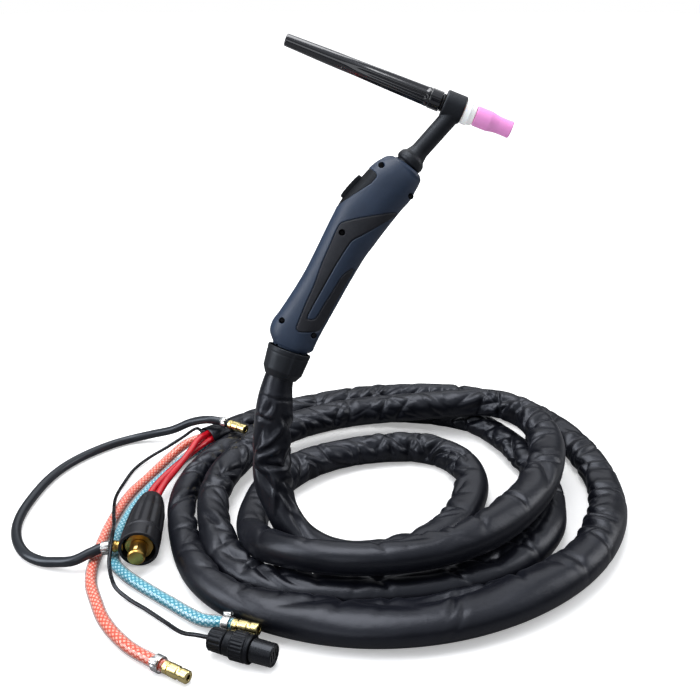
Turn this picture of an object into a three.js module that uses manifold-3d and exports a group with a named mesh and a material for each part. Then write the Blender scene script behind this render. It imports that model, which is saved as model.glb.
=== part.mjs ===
// Water-cooled TIG welding torch with its coiled cable set.
// Millimetres, +Z up, origin at the middle of the footprint, on the floor plane. The coil is drawn
// about its own centre and the whole group is moved by ORIGIN_SHIFT.
// The hand torch stands in a plane that leans by TORCH_LEAN. Its parts are built in the torch
// frame: x across, z up the plane, y through the thickness of the handle.
import * as THREE from 'three';
import { mergeVertices } from 'three/addons/utils/BufferGeometryUtils.js';
import Module from 'manifold-3d';

const wasm = await Module();
wasm.setup();

// ---------------------------------------------------------------- driving dimensions
const TORCH_LEAN = 17;              // degrees
const TORCH_BASE_Y = -85.28;        // where the torch plane meets the floor
const ORIGIN_SHIFT = [69.01, 7.41, 0.3];
const GAP = 0.3;                    // running gap between neighbouring parts
const UP = vec(0, 0, 1);
const THICKNESS_DIR = vec(0, 1, 0); // through the handle, in the torch frame

const NECK_DIR = vec(0.668, 0, 0.744);      // up the neck, and along the switch
const SWITCH_OUT = vec(-0.744, 0, 0.668);   // square to it, out of the handle at the switch
const NECK_DOWN = NECK_DIR.clone().normalize().negate();
const NECK_RADIUS = 7.8;
const NECK_LENGTH = 62;
const NECK_AXIS = { origin: vec(41.8, 0, 382.8), dir: NECK_DOWN };  // starts inside the head
const HEAD_AXIS = {                 // from the centre of the head towards the nozzle
  origin: vec(44.2, 0, 390.4),
  dir: vec(0.931, 0, -0.365).normalize(),
};

const BALL_CENTRE = vec(-95.8, 0, 184.8);   // knuckle joint
const BALL_AXIS = { origin: BALL_CENTRE, dir: vec(0.376, 0, 0.926) };
const COLLAR_AXIS = { origin: BALL_CENTRE, dir: vec(0.329, 0, 0.944) };

const RETURN_HOSE_RADIUS = 5.2;
const FEED_HOSE_RADIUS = 5.3;
const PLAIN_HOSE_RADIUS = 3.4;
const GAS_HOSE_RADIUS = 4.5;

// plug ends of the hoses, each with the direction its plug points in
const GAS_END = { origin: vec(-174.3, 101.8, 33.5), dir: vec(21, -13.7, 0).normalize() };
const RETURN_END = { origin: vec(-179.5, -228.8, 6.4), dir: vec(0.865, -0.502, 0) };
const FEED_END = { origin: vec(-133.5, -191.5, 12.8), dir: vec(0.923, -0.37, 0.1).normalize() };

// ---------------------------------------------------------------- groups and materials
const root = new THREE.Group();
root.position.set(...ORIGIN_SHIFT);
const torch = new THREE.Group();
torch.rotation.x = THREE.MathUtils.degToRad(-TORCH_LEAN);
torch.position.set(0, TORCH_BASE_Y, 0);
root.add(torch);

const finish = (settings) => new THREE.MeshStandardMaterial(settings);
const MATERIALS = {
  slate: finish({ color: 0x2b3a4d, roughness: 0.42 }),
  grip: finish({ color: 0x24262b, roughness: 0.8 }),
  rubber: finish({ color: 0x1b1c1f, roughness: 0.62 }),
  gloss: finish({ color: 0x0c0c0e, roughness: 0.22 }),
  ptfe: finish({ color: 0xf1f1ef, roughness: 0.5 }),
  ceramic: finish({ color: 0xd86fc0, roughness: 0.4 }),
  brass: finish({ color: 0xc39a4a, roughness: 0.3, metalness: 1 }),
  paleBrass: finish({ color: 0xd8c080, roughness: 0.3, metalness: 1 }),
  copper: finish({ color: 0xb87345, roughness: 0.35, metalness: 1 }),
  tungsten: finish({ color: 0x8a8c90, roughness: 0.35, metalness: 1 }),
  steel: finish({ color: 0xb9bcc0, roughness: 0.3, metalness: 1 }),
  sheath: finish({ color: 0x24242b, roughness: 0.7 }),
  hoseRed: finish({ color: 0xd98070, roughness: 0.3 }),
  hoseBlue: finish({ color: 0x86c6dc, roughness: 0.3 }),
  red: finish({ color: 0xc81e26, roughness: 0.3 }),
  black: finish({ color: 0x141416, roughness: 0.5 }),
};

// ---------------------------------------------------------------- helpers
function vec(x, y, z) {
  return new THREE.Vector3(x, y, z);
}

// the same axis with its origin moved along it
function shift({ origin, dir }, distance) {
  return { origin: origin.clone().addScaledVector(dir, distance), dir };
}

// keep only positions, weld them, drop collapsed triangles and turn the faces outwards
function clean(geometry) {
  const bare = geometry.clone();
  for (const name of Object.keys(bare.attributes)) {
    if (name !== 'position') bare.deleteAttribute(name);
  }
  const welded = mergeVertices(bare, 1e-4);
  const source = welded.index.array;
  const corner = (i) => vec().fromBufferAttribute(welded.attributes.position, i);
  const kept = [];
  let volume = 0;
  for (let i = 0; i < source.length; i += 3) {
    const [a, b, c] = [source[i], source[i + 1], source[i + 2]];
    if (a === b || b === c || a === c) continue;
    kept.push(a, b, c);
    volume += corner(a).dot(corner(b).cross(corner(c)));
  }
  if (volume < 0) {
    for (let i = 0; i < kept.length; i += 3) [kept[i], kept[i + 1]] = [kept[i + 1], kept[i]];
  }
  welded.setIndex(kept);
  welded.computeVertexNormals();
  return welded;
}

function solid(geometry) {
  const cleaned = clean(geometry);
  return new wasm.Manifold(new wasm.Mesh({
    numProp: 3,
    vertProperties: new Float32Array(cleaned.attributes.position.array),
    triVerts: new Uint32Array(cleaned.index.array),
  }));
}

function toGeometry(manifold) {
  const mesh = manifold.getMesh();
  const geometry = new THREE.BufferGeometry();
  const positions = new Float32Array(mesh.vertProperties);
  geometry.setAttribute('position', new THREE.BufferAttribute(positions, 3));
  geometry.setIndex(new THREE.BufferAttribute(new Uint32Array(mesh.triVerts), 1));
  geometry.computeVertexNormals();
  return geometry;
}

const cut = (body, ...tools) => tools.reduce((rest, tool) => rest.subtract(tool), body);

// shape is a geometry or a manifold
function add(parent, name, shape, material) {
  const geometry = shape instanceof THREE.BufferGeometry ? clean(shape) : toGeometry(shape);
  const mesh = new THREE.Mesh(geometry, material);
  mesh.name = name;
  parent.add(mesh);
}

// geometry from a list of Vector3 and triangle indices
function indexed(points, indices) {
  const geometry = new THREE.BufferGeometry().setFromPoints(points);
  geometry.setIndex(indices);
  return geometry;
}

// closed solid through rings of Vector3; neighbouring rings may have different counts
function loft(rings) {
  const starts = [];
  const indices = [];
  let total = 0;
  for (const ring of rings) {
    starts.push(total);
    total += ring.length;
  }
  for (let k = 0; k + 1 < rings.length; k++) {
    const [n, m] = [rings[k].length, rings[k + 1].length];
    const [near, far] = [starts[k], starts[k + 1]];
    let i = 0;
    let j = 0;
    while (i < n || j < m) {
      if (j >= m || (i < n && (i + 1) / n <= (j + 1) / m)) {
        indices.push(near + i % n, near + (i + 1) % n, far + j % m);
        i++;
      } else {
        indices.push(near + i % n, far + (j + 1) % m, far + j % m);
        j++;
      }
    }
  }
  const last = starts.at(-1);
  for (let i = 1; i + 1 < rings[0].length; i++) indices.push(0, i + 1, i);
  for (let i = 1; i + 1 < rings.at(-1).length; i++) indices.push(last, last + i, last + i + 1);
  return indexed(rings.flat(), indices);
}

// geometry of revolution; a profile is a list of [distance along the axis, radius]
function turned(profile, { origin, dir }, segments) {
  const points = profile.map(([distance, radius]) => new THREE.Vector2(radius, distance));
  const geometry = new THREE.LatheGeometry(points, segments);
  const turn = new THREE.Quaternion().setFromUnitVectors(vec(0, 1, 0), dir.clone().normalize());
  geometry.applyQuaternion(turn);
  return geometry.translate(origin.x, origin.y, origin.z);
}
const turnedSolid = (...args) => solid(turned(...args));

function ringProfile(from, to, inner, outer) {
  return [[from, inner], [from, outer], [to, outer], [to, inner], [from, inner]];
}

function rod(from, to, radius, axis, segments) {
  return turnedSolid([[from, 0], [from, radius], [to, radius], [to, 0]], axis, segments);
}

// box from [low, high] spans
function box(xs, ys, zs) {
  const geometry = new THREE.BoxGeometry(xs[1] - xs[0], ys[1] - ys[0], zs[1] - zs[0]);
  return geometry.translate((xs[0] + xs[1]) / 2, (ys[0] + ys[1]) / 2, (zs[0] + zs[1]) / 2);
}

// z along the axis, y straight up. The frame is left-handed; clean() puts the faces right
function axisFrame({ origin, dir }) {
  return new THREE.Matrix4().makeBasis(dir.clone().cross(UP).normalize(), UP, dir)
    .setPosition(origin);
}

// steady frames along a path: side is level, rise points upwards
function pathFrames(points) {
  return points.map((centre, i) => {
    const before = points[Math.max(i - 1, 0)];
    const after = points[Math.min(i + 1, points.length - 1)];
    const tangent = after.clone().sub(before).normalize();
    const side = tangent.clone().cross(UP).normalize();
    const rise = side.clone().cross(tangent).normalize();
    return { centre, tangent, side, rise };
  });
}

// point of a path frame, moved sideways, upwards and forwards
function framePoint(frame, sideways, upwards, forwards = 0) {
  return frame.centre.clone().addScaledVector(frame.side, sideways)
    .addScaledVector(frame.rise, upwards).addScaledVector(frame.tangent, forwards);
}

// ring of points in a path frame; centre is [sideways, upwards, forwards]
function frameRing(frame, halfWidth, halfHeight, count, phase = Math.PI / count,
  centre = [0, 0, 0]) {
  return Array.from({ length: count }, (_, k) => {
    const angle = (k / count) * 2 * Math.PI + phase;
    return framePoint(frame, centre[0] + halfWidth * Math.cos(angle),
      centre[1] + halfHeight * Math.sin(angle), centre[2]);
  });
}

function tubeRings(points, radius, sides) {
  return pathFrames(points).map((frame) => frameRing(frame, radius, radius, sides));
}

function smoothCurve(knots) {
  return new THREE.CatmullRomCurve3(knots, false, 'centripetal');
}

// ---------------------------------------------------------------- torch head and neck
function torchBody() {
  const head = turnedSolid([[-9, 0], [-9, 11.0], [-8, 11.9], [8, 11.9], [9, 11.0], [9, 0]],
    HEAD_AXIS, 16);
  const neck = turnedSolid([[0, 0], [0, NECK_RADIUS], [41, NECK_RADIUS], [45.5, 9.8], [56, 10.0],
    [NECK_LENGTH - 1, 8.6], [NECK_LENGTH, 7.6], [NECK_LENGTH, 0]], NECK_AXIS, 12);
  const headBore = rod(-12, 12, 8.2, HEAD_AXIS, 14);
  const neckBore = rod(2, NECK_LENGTH + 4, 5.9, NECK_AXIS, 12);
  return cut(head.add(neck), headBore, neckBore);
}

function brassHead() {
  const core = rod(-8.7, 8.7, 7.8, HEAD_AXIS, 12);
  const bore = turnedSolid([[-12, 0], [-12, 5.4], [-2, 5.4], [-2, 2.9], [1.5, 2.9], [1.5, 5.4],
    [12, 5.4], [12, 0]], HEAD_AXIS, 10);
  return cut(core, bore);
}

// copper tubes up the neck: name, offset towards SWITCH_OUT, offset in y
const NECK_TUBES = [
  ['power_return_tube', -2.9, 0],
  ['water_inlet_tube', 1.45, 2.5],
  ['gas_tube', 1.45, -2.5],
];
const NECK_TUBE = { start: 6.4, length: NECK_LENGTH + 16, bore: 1.2, radius: 2.1 };

function neckTube(outwards, across) {
  const axis = shift(NECK_AXIS, NECK_TUBE.start);
  axis.origin.addScaledVector(SWITCH_OUT.clone().normalize(), outwards);
  axis.origin.y += across;
  return turned(ringProfile(0, NECK_TUBE.length, NECK_TUBE.bore, NECK_TUBE.radius), axis, 8);
}

const ELECTRODE_RADIUS = 1.2;
// turned parts on the head axis: name, material, segments, profile
const HEAD_PARTS = [
  ['collet_body', MATERIALS.copper, 14, [[1.9, 2.6], [1.9, 5.0], [14, 5.0], [14, 7.4],
    [18.6, 7.4], [18.6, 5.2], [34, 4.6], [37, 3.4], [37, 2.6], [1.9, 2.6]]],
  ['collet', MATERIALS.copper, 10, [[-1.5, 1.55], [-1.5, 2.25], [30, 2.25], [32, 1.9],
    [32, 1.55], [-1.5, 1.55]]],
  ['tungsten_electrode', MATERIALS.tungsten, 8, [[-98, 0], [-98, ELECTRODE_RADIUS],
    [48.5, ELECTRODE_RADIUS], [50.5, 0]]],
  ['cup_gasket', MATERIALS.ptfe, 14, [[9.3, 7.8], [9.3, 10.0], [10.2, 10.7], [14.4, 10.7],
    [15.2, 9.7], [18.4, 9.3], [19.1, 8.6], [19.1, 7.8], [9.3, 7.8]]],
  ['nozzle', MATERIALS.ceramic, 14, [[19.5, 5.6], [19.5, 7.9], [20.4, 8.6], [33.5, 8.5],
    [36.5, 7.7], [38.5, 7.2], [51.6, 6.6], [52.6, 6.1], [52.6, 5.0], [40, 5.4], [36, 5.6],
    [19.5, 5.6]]],
];
// measured from the head centre, away from the nozzle
const BACK_CAP = [[2.4, 3.0], [2.4, 5.0], [11.4, 5.0], [11.4, 8.0], [12.0, 8.6], [21.2, 8.6],
  [21.6, 8.1], [22.4, 8.1], [23, 8.4], [62, 7.6], [90, 6.8], [120, 6.2], [149, 5.3], [151.6, 3.8],
  [152.2, 0], [146, 0], [144, 2.6], [60, 2.8], [2.4, 3.0]];
const O_RING = { radius: 6.75, wire: 0.95, wireSides: 5, segments: 12, distance: 10.2 };

function backCapORing() {
  const ring = new THREE.TorusGeometry(O_RING.radius, O_RING.wire, O_RING.wireSides,
    O_RING.segments);
  ring.applyQuaternion(new THREE.Quaternion().setFromUnitVectors(UP, HEAD_AXIS.dir));
  const { origin } = shift(HEAD_AXIS, -O_RING.distance);
  return ring.translate(origin.x, origin.y, origin.z);
}

add(torch, 'torch_body', torchBody(), MATERIALS.rubber);
add(torch, 'brass_head', brassHead(), MATERIALS.brass);
for (const [name, outwards, across] of NECK_TUBES) {
  add(torch, name, neckTube(outwards, across), MATERIALS.copper);
}
for (const [name, material, segments, profile] of HEAD_PARTS) {
  add(torch, name, turned(profile, HEAD_AXIS, segments), material);
}
const backAxis = { origin: HEAD_AXIS.origin, dir: HEAD_AXIS.dir.clone().negate() };
add(torch, 'back_cap', turned(BACK_CAP, backAxis, 12), MATERIALS.gloss);
add(torch, 'back_cap_o_ring', backCapORing(), MATERIALS.rubber);

// ---------------------------------------------------------------- handle
// stations from the cable end to the neck end: x, z of one edge, x, z of the other, half thickness
const HANDLE = [
  [-110.6, 192.7, -80.6, 180.5, 16.2], [-113.0, 200.5, -76.2, 182.6, 17.4],
  [-111.0, 209.0, -73.3, 188.6, 18.1], [-104.2, 218.4, -68.7, 197.6, 18.2],
  [-87.6, 243.5, -53.9, 224.0, 17.6], [-78.9, 258.9, -45.2, 239.4, 17.4],
  [-64.1, 288.8, -29.7, 264.9, 17.6], [-58.1, 300.7, -23.0, 273.6, 17.9],
  [-51.2, 313.4, -16.0, 283.0, 18.2], [-33.5, 333.0, -0.2, 302.8, 18.4],
  [-24.0, 342.6, 8.4, 312.6, 17.8], [-17.1, 347.1, 12.7, 320.3, 16.4],
  [-10.7, 349.6, 15.6, 326.0, 14.4], [-5.2, 347.6, 16.2, 331.2, 12.9],
];
// outline of the grip inlay: x, z
const GRIP = [
  [-3.4, 301.6], [-22.1, 298.6], [-34.9, 296.5], [-50.4, 293.1], [-52.9, 290.5], [-56.4, 283.7],
  [-60.7, 273.5], [-67.6, 258.1], [-73.8, 240.0], [-80.7, 225.3], [-86.0, 212.3], [-89.5, 203.6],
  [-86.9, 200.1], [-69.6, 200.1], [-65.2, 206.0], [-56.5, 222.5], [-47.0, 239.5], [-39.5, 252.4],
  [-41.8, 254.1], [-49.5, 248.9], [-56.5, 237.7], [-65.2, 223.9], [-73.0, 210.8], [-80.8, 211.6],
  [-73.8, 224.6], [-65.1, 240.1], [-56.4, 255.6], [-46.9, 270.6], [-41.8, 277.7], [-33.2, 281.9],
  [-22.0, 288.0], [-3.2, 298.2],
];
// screw places: x, z
const SCREWS = [[-17.1, 340.6], [8.2, 315.3], [-50.2, 284.3], [-101.6, 210.1], [-74.6, 197.0]];

const HANDLE_SIDES = 12;
const HANDLE_SQUARENESS = 2.35;     // superellipse exponent; 2 is an ellipse
const HANDLE_WALL = 3.0;
const CAVITY_OVERRUN = 6;           // the cavity runs out past both ends of the handle
const INLAY_DEPTH = 1.5;
const INLAY_INNER_Y = 4;            // inlays lie farther than this from the split plane
const CUTTER_REACH = 40;            // past the outside of the handle
const SCREW_HOLE_RADIUS = 1.8;
const SCREW_PROFILE = [[-10.2, 0], [-10.2, 2.0], [-9.6, 2.6], [-7.7, 2.6], [-7.7, 1.3],
  [8.2, 1.3], [8.2, 0]];

// switch: half length along the neck direction, half width in y
const SWITCH_TRAY = { halfLength: 22, halfWidth: 9, floor: -9 };
const BUTTON = { halfLength: 12, halfWidth: 7 };
const SWITCH_FRAME = new THREE.Matrix4().makeBasis(NECK_DIR, THICKNESS_DIR, SWITCH_OUT)
  .setPosition(-38.9, 0, 320.4);

// box in the switch frame: span along the handle edge, half width in y, span out of the handle
function switchBox(lengthwise, halfWidth, outwards) {
  return box(lengthwise, [-halfWidth, halfWidth], outwards).applyMatrix4(SWITCH_FRAME);
}
// the same, as a solid centred lengthwise
function switchBlock(halfLength, halfWidth, outwards) {
  return solid(switchBox([-halfLength, halfLength], halfWidth, outwards));
}

// station beyond an end, on the line of the last two stations
function stationBeyond(end, next) {
  const middle = ([x0, z0, x1, z1]) => new THREE.Vector2((x0 + x1) / 2, (z0 + z1) / 2);
  const step = middle(end).sub(middle(next)).setLength(CAVITY_OVERRUN);
  return [end[0] + step.x, end[1] + step.y, end[2] + step.x, end[3] + step.y, end[4]];
}

// handle body, inset from the outside
function handleBody(inset, stations = HANDLE) {
  const power = 2 / HANDLE_SQUARENESS;
  const bulge = (value) => Math.sign(value) * Math.abs(value) ** power;
  return solid(loft(stations.map(([x0, z0, x1, z1, halfThickness]) => {
    const centre = vec((x0 + x1) / 2, 0, (z0 + z1) / 2);
    const across = vec(x1 - x0, 0, z1 - z0);
    const halfWidth = across.length() / 2 - inset;
    across.normalize();
    return Array.from({ length: HANDLE_SIDES }, (_, k) => {
      const angle = ((k + 0.5) / HANDLE_SIDES) * 2 * Math.PI;
      return centre.clone().addScaledVector(across, halfWidth * bulge(Math.cos(angle)))
        .addScaledVector(THICKNESS_DIR, (halfThickness - inset) * bulge(Math.sin(angle)));
    });
  })));
}

const toVector2 = ([x, z]) => new THREE.Vector2(x, z);

// prism through the handle thickness over an outline of x, z
function prism(outline, [y0, y1]) {
  const shape = new THREE.Shape(outline.map(toVector2));
  const geometry = new THREE.ExtrudeGeometry(shape, { depth: y1 - y0, bevelEnabled: false });
  geometry.rotateX(Math.PI / 2);    // shape y becomes z, depth runs towards -y
  return solid(geometry.translate(0, y1, 0));
}

// outline with each edge moved inwards
function shrink(outline, distance) {
  const points = outline.map(toVector2);
  const sense = THREE.ShapeUtils.area(points) > 0 ? 1 : -1;
  const inward = (from, to) => {
    const edge = to.clone().sub(from).normalize();
    return new THREE.Vector2(-edge.y, edge.x).multiplyScalar(sense);
  };
  return points.map((point, i) => {
    const before = inward(points.at(i - 1), point);
    const after = inward(point, points[(i + 1) % points.length]);
    // the floor of 0.45 limits the move at sharp corners
    const scale = distance / Math.max(0.45, 1 + before.dot(after));
    return [point.x + (before.x + after.x) * scale, point.y + (before.y + after.y) * scale];
  });
}

const screwAxis = ([x, z]) => ({ origin: vec(x, 0, z), dir: THICKNESS_DIR });

// span in y on one side of the split plane; side is -1 or 1
const sideSpan = (side, from, to) => (side < 0 ? [-to, -from] : [from, to]);

// space inside the shell, less the screw bosses and the block around the switch
function handleHollow() {
  const stations = [stationBeyond(HANDLE[0], HANDLE[1]), ...HANDLE,
    stationBeyond(HANDLE.at(-1), HANDLE.at(-2))];
  const bossLimit = handleBody(1.0);
  const bosses = SCREWS.map((place) => rod(-30, 30, 4.2, screwAxis(place), 6)
    .intersect(bossLimit));
  return cut(handleBody(HANDLE_WALL, stations), ...bosses, switchBlock(25, 30, [-12, 12]));
}

function screwHoles(side, place) {
  const axis = screwAxis(place);
  if (side > 0) return [rod(-1, 9, SCREW_HOLE_RADIUS, axis, 6)];
  const headPocket = rod(-30, -7.4, 3.0, axis, 8);
  return [headPocket, rod(-9, 1, SCREW_HOLE_RADIUS, axis, 6)];
}

const handleOuter = handleBody(0);
const inlayFloor = handleBody(INLAY_DEPTH);
const inlayPocketFloor = handleBody(INLAY_DEPTH + GAP);
const shellCuts = [
  handleHollow(),
  rod(-6, 9, 14.3, BALL_AXIS, 16),                                        // mouth at the ball
  rod(-2, 24, 10.5, { origin: vec(6.0, 0, 343.0), dir: NECK_DOWN }, 16),  // mouth at the neck
  switchBlock(SWITCH_TRAY.halfLength + GAP, SWITCH_TRAY.halfWidth + GAP,
    [SWITCH_TRAY.floor - GAP, 12]),
  switchBlock(8, 5, [-16, -8]),                                           // slot under the tray
];

function handleShell(side) {
  const half = solid(box([-160, 60], sideSpan(side, GAP / 2, CUTTER_REACH), [150, 370]));
  const pocket = cut(prism(GRIP, sideSpan(side, INLAY_INNER_Y, CUTTER_REACH)), inlayPocketFloor);
  const shell = cut(handleOuter, ...shellCuts, pocket).intersect(half);
  return cut(shell, ...SCREWS.flatMap((place) => screwHoles(side, place)));
}

function gripInlay(side) {
  const span = sideSpan(side, INLAY_INNER_Y + GAP, CUTTER_REACH);
  return cut(prism(shrink(GRIP, GAP), span).intersect(handleOuter), inlayFloor);
}

// screw with a cross slot in its head, which faces -y
function handleScrew(place) {
  const [x, z] = place;
  const slots = [[1.6, 0.35], [0.35, 1.6]].map(([halfX, halfZ]) => (
    solid(box([x - halfX, x + halfX], [-10.6, -9.0], [z - halfZ, z + halfZ]))));
  return cut(turnedSolid(SCREW_PROFILE, screwAxis(place), 8), ...slots);
}

for (const [name, side] of [['left', -1], ['right', 1]]) {
  add(torch, `handle_shell_${name}`, handleShell(side), MATERIALS.slate);
  add(torch, `grip_inlay_${name}`, gripInlay(side), MATERIALS.grip);
}
SCREWS.forEach((place, i) => {
  add(torch, `handle_screw_${i + 1}`, handleScrew(place), MATERIALS.steel);
});

// ---------------------------------------------------------------- switch
// place is measured along the switch, base and height out of the handle
const SPRING = { turns: 4, perTurn: 7, place: 5.0, radius: 2.1, base: -6.9, height: 8.0, wire: 0.32 };

function switchTray() {
  const { halfLength, halfWidth, floor } = SWITCH_TRAY;
  return cut(switchBlock(halfLength, halfWidth, [floor, 0.8]),
    switchBlock(BUTTON.halfLength + GAP, BUTTON.halfWidth + GAP, [-7.4, 4]));
}

function triggerButton() {
  return cut(switchBlock(BUTTON.halfLength, BUTTON.halfWidth, [-2.2, 3.8]),
    switchBlock(9.2, 4.8, [-3, 1.6]));
}

function microswitch() {
  return cut(solid(switchBox([-8.9, -1.5], 3, [-7.1, -2.6])),
    solid(switchBox([-6.6, -4.4], 1.1, [-6.1, 0])));
}

function triggerSpring() {
  const steps = SPRING.turns * SPRING.perTurn;
  const points = Array.from({ length: steps + 1 }, (_, i) => {
    const angle = (i / SPRING.perTurn) * 2 * Math.PI;
    return vec(SPRING.place + SPRING.radius * Math.cos(angle), SPRING.radius * Math.sin(angle),
      SPRING.base + (SPRING.height * i) / steps).applyMatrix4(SWITCH_FRAME);
  });
  return loft(tubeRings(points, SPRING.wire, 4));
}

add(torch, 'switch_module', switchTray(), MATERIALS.rubber);
add(torch, 'trigger_button', triggerButton(), MATERIALS.black);
add(torch, 'microswitch', microswitch(), MATERIALS.black);
add(torch, 'microswitch_plunger', switchBox([-6.3, -4.7], 0.8, [-4.0, 1.2]), MATERIALS.red);
add(torch, 'trigger_spring', triggerSpring(), MATERIALS.steel);

// ---------------------------------------------------------------- knuckle joint and collar
// angles in radians from the ball's equator
const BALL = { radius: 13.8, bore: 9.6, startAngle: -0.78, sweep: 1.25, steps: 8, top: 16 };
const SEAT = { innerRadius: 14.35, outerRadius: 17.4, top: -2.4, height: 8.4, steps: 4 };
const COLLAR = [[-0.6, 17.9], [-0.6, 19.0], [-1.0, 19.4], [-20, 17.6], [-26, 14.1], [-26, 13.3],
  [-11.4, 13.3], [-11.4, 17.9], [-0.6, 17.9]];

function ballJoint() {
  const arc = Array.from({ length: BALL.steps + 1 }, (_, i) => {
    const angle = BALL.startAngle + (BALL.sweep * i) / BALL.steps;
    return [BALL.radius * Math.sin(angle), BALL.radius * Math.cos(angle)];
  });
  const bottom = [arc[0][0], BALL.bore];
  const stub = [[BALL.top, arc.at(-1)[1]], [BALL.top, BALL.bore]];
  return turned([bottom, ...arc, ...stub, bottom], BALL_AXIS, 14);
}

function swivelSeat() {
  const arc = Array.from({ length: SEAT.steps + 1 }, (_, i) => {
    const distance = SEAT.top - (SEAT.height * i) / SEAT.steps;
    return [distance, Math.sqrt(SEAT.innerRadius ** 2 - distance ** 2)];
  });
  const rim = [SEAT.top, SEAT.outerRadius];
  return turned([rim, ...arc, [SEAT.top - SEAT.height, SEAT.outerRadius], rim], COLLAR_AXIS, 18);
}

add(torch, 'ball_joint', ballJoint(), MATERIALS.black);
add(torch, 'swivel_seat', swivelSeat(), MATERIALS.black);
add(torch, 'cable_collar', turned(COLLAR, COLLAR_AXIS, 20), MATERIALS.rubber);

// ---------------------------------------------------------------- sheath
// centre line from the collar, round the coil, to the open tail: x, y, z, half width, half height
const SHEATH = [
  [-100.1, -34.8, 165.0, 12.0, 12.0], [-105.0, -39.0, 151.4, 12.1, 12.1],
  [-109.2, -44.2, 133.0, 13.6, 13.6], [-112.6, -54.6, 97.5, 14.6, 14.6],
  [-113.0, -61.3, 71.4, 15.1, 15.1], [-106.1, -74.5, 45.8, 14.2, 14.2],
  [-91.2, -88.7, 25.3, 14.2, 13.6], [-67.2, -102.4, 15.4, 14.5, 12.8],
  [-35.5, -109.6, 14.1, 15.5, 13.1], [0.7, -102.2, 14.3, 15.5, 13.0],
  [33.7, -80.0, 14.5, 15.5, 13.0], [60.4, -41.8, 14.1, 15.5, 13.0],
  [76.4, 3.2, 13.9, 15.4, 13.0], [75.8, 38.7, 14.1, 15.0, 13.0], [60.5, 66.0, 14.2, 14.2, 13.0],
  [34.0, 82.3, 14.1, 14.0, 13.0], [-3.6, 84.2, 13.8, 14.0, 12.8], [-49.8, 72.3, 14.2, 14.1, 13.0],
  [-88.8, 47.6, 14.9, 15.0, 13.6], [-115.9, 12.7, 15.0, 15.5, 14.2],
  [-130.2, -30.3, 15.5, 15.5, 14.8], [-130.6, -73.5, 19.8, 14.1, 13.7],
  [-118.7, -107.1, 29.0, 14.5, 14.0], [-93.5, -132.8, 39.1, 14.2, 13.6],
  [-58.1, -147.7, 44.3, 15.0, 14.0], [-13.5, -149.7, 45.9, 15.4, 14.0],
  [34.1, -136.9, 45.7, 16.2, 14.1], [77.4, -109.3, 46.1, 17.3, 14.8],
  [114.4, -66.8, 46.9, 17.5, 15.0], [142.1, -11.8, 46.8, 17.4, 15.0],
  [154.4, 42.1, 45.4, 16.9, 15.0], [151.3, 86.4, 44.1, 16.4, 15.0],
  [136.1, 117.4, 43.1, 15.9, 15.0], [109.6, 136.0, 42.2, 14.9, 14.4],
  [65.0, 142.1, 37.3, 15.5, 15.2], [3.1, 142.8, 31.9, 15.5, 15.4],
  [-54.0, 131.3, 30.3, 15.5, 15.4], [-103.7, 106.0, 28.7, 15.5, 15.3],
  [-143.0, 70.3, 24.3, 15.0, 14.9], [-166.2, 30.6, 20.5, 14.3, 13.8],
  [-174.3, -14.2, 18.7, 13.8, 13.3], [-166.6, -66.3, 16.4, 13.9, 13.2],
  [-149.0, -111.2, 13.7, 13.5, 12.2], [-123.1, -136.5, 13.5, 14.0, 12.2],
  [-83.0, -150.9, 13.5, 15.0, 13.0], [-24.8, -154.2, 13.9, 15.0, 13.0],
  [34.4, -144.8, 13.9, 15.4, 13.0], [80.5, -123.5, 13.9, 15.5, 13.0],
  [116.4, -89.9, 13.9, 15.5, 13.0], [140.3, -47.5, 13.9, 15.5, 13.0],
  [149.3, -0.6, 13.9, 15.3, 13.0], [142.5, 53.7, 13.9, 15.0, 13.0],
  [121.4, 110.2, 13.6, 14.3, 12.4], [96.1, 145.6, 13.2, 14.3, 12.1],
  [61.8, 164.9, 13.0, 14.7, 12.5], [11.7, 173.1, 13.1, 14.5, 12.5],
  [-44.9, 168.0, 13.3, 14.5, 12.5], [-98.0, 147.3, 13.3, 14.5, 12.5],
  [-147.6, 112.1, 13.3, 14.5, 12.5], [-182.1, 70.6, 13.2, 13.9, 12.5],
  [-201.0, 25.2, 13.1, 12.6, 12.4], [-204.2, -23.2, 13.0, 12.4, 12.4],
  [-191.2, -81.5, 13.1, 12.6, 12.6], [-170.1, -130.6, 13.1, 12.5, 12.6],
  [-140.5, -161.4, 13.6, 13.7, 12.9], [-96.0, -182.7, 14.6, 17.1, 13.6],
  [-38.7, -193.1, 15.3, 21.4, 14.4], [21.4, -188.7, 15.6, 22.4, 14.5],
  [79.4, -169.1, 15.6, 21.7, 14.5], [131.3, -135.9, 15.4, 20.2, 14.4],
  [171.0, -93.2, 15.1, 18.7, 14.1], [196.0, -45.1, 14.7, 17.7, 13.8],
  [206.2, 9.6, 14.2, 17.0, 13.5], [202.5, 71.4, 14.0, 16.4, 13.5],
  [186.7, 125.5, 14.0, 15.8, 13.5], [160.3, 164.7, 14.1, 15.3, 13.5],
  [121.3, 193.9, 14.1, 15.0, 13.4], [72.3, 211.5, 14.0, 15.0, 13.3],
  [16.8, 214.7, 14.0, 15.0, 13.3], [-43.7, 202.8, 14.1, 14.9, 13.2],
  [-101.4, 180.0, 14.1, 14.5, 13.1], [-153.7, 146.5, 14.1, 14.1, 13.0],
  [-198.4, 103.5, 14.0, 14.0, 13.0],
];
const SHEATH_WALL = 1.3;
const SHEATH_SIDES = 8;
const sheathFrames = pathFrames(SHEATH.map(([x, y, z]) => vec(x, y, z)));

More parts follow.
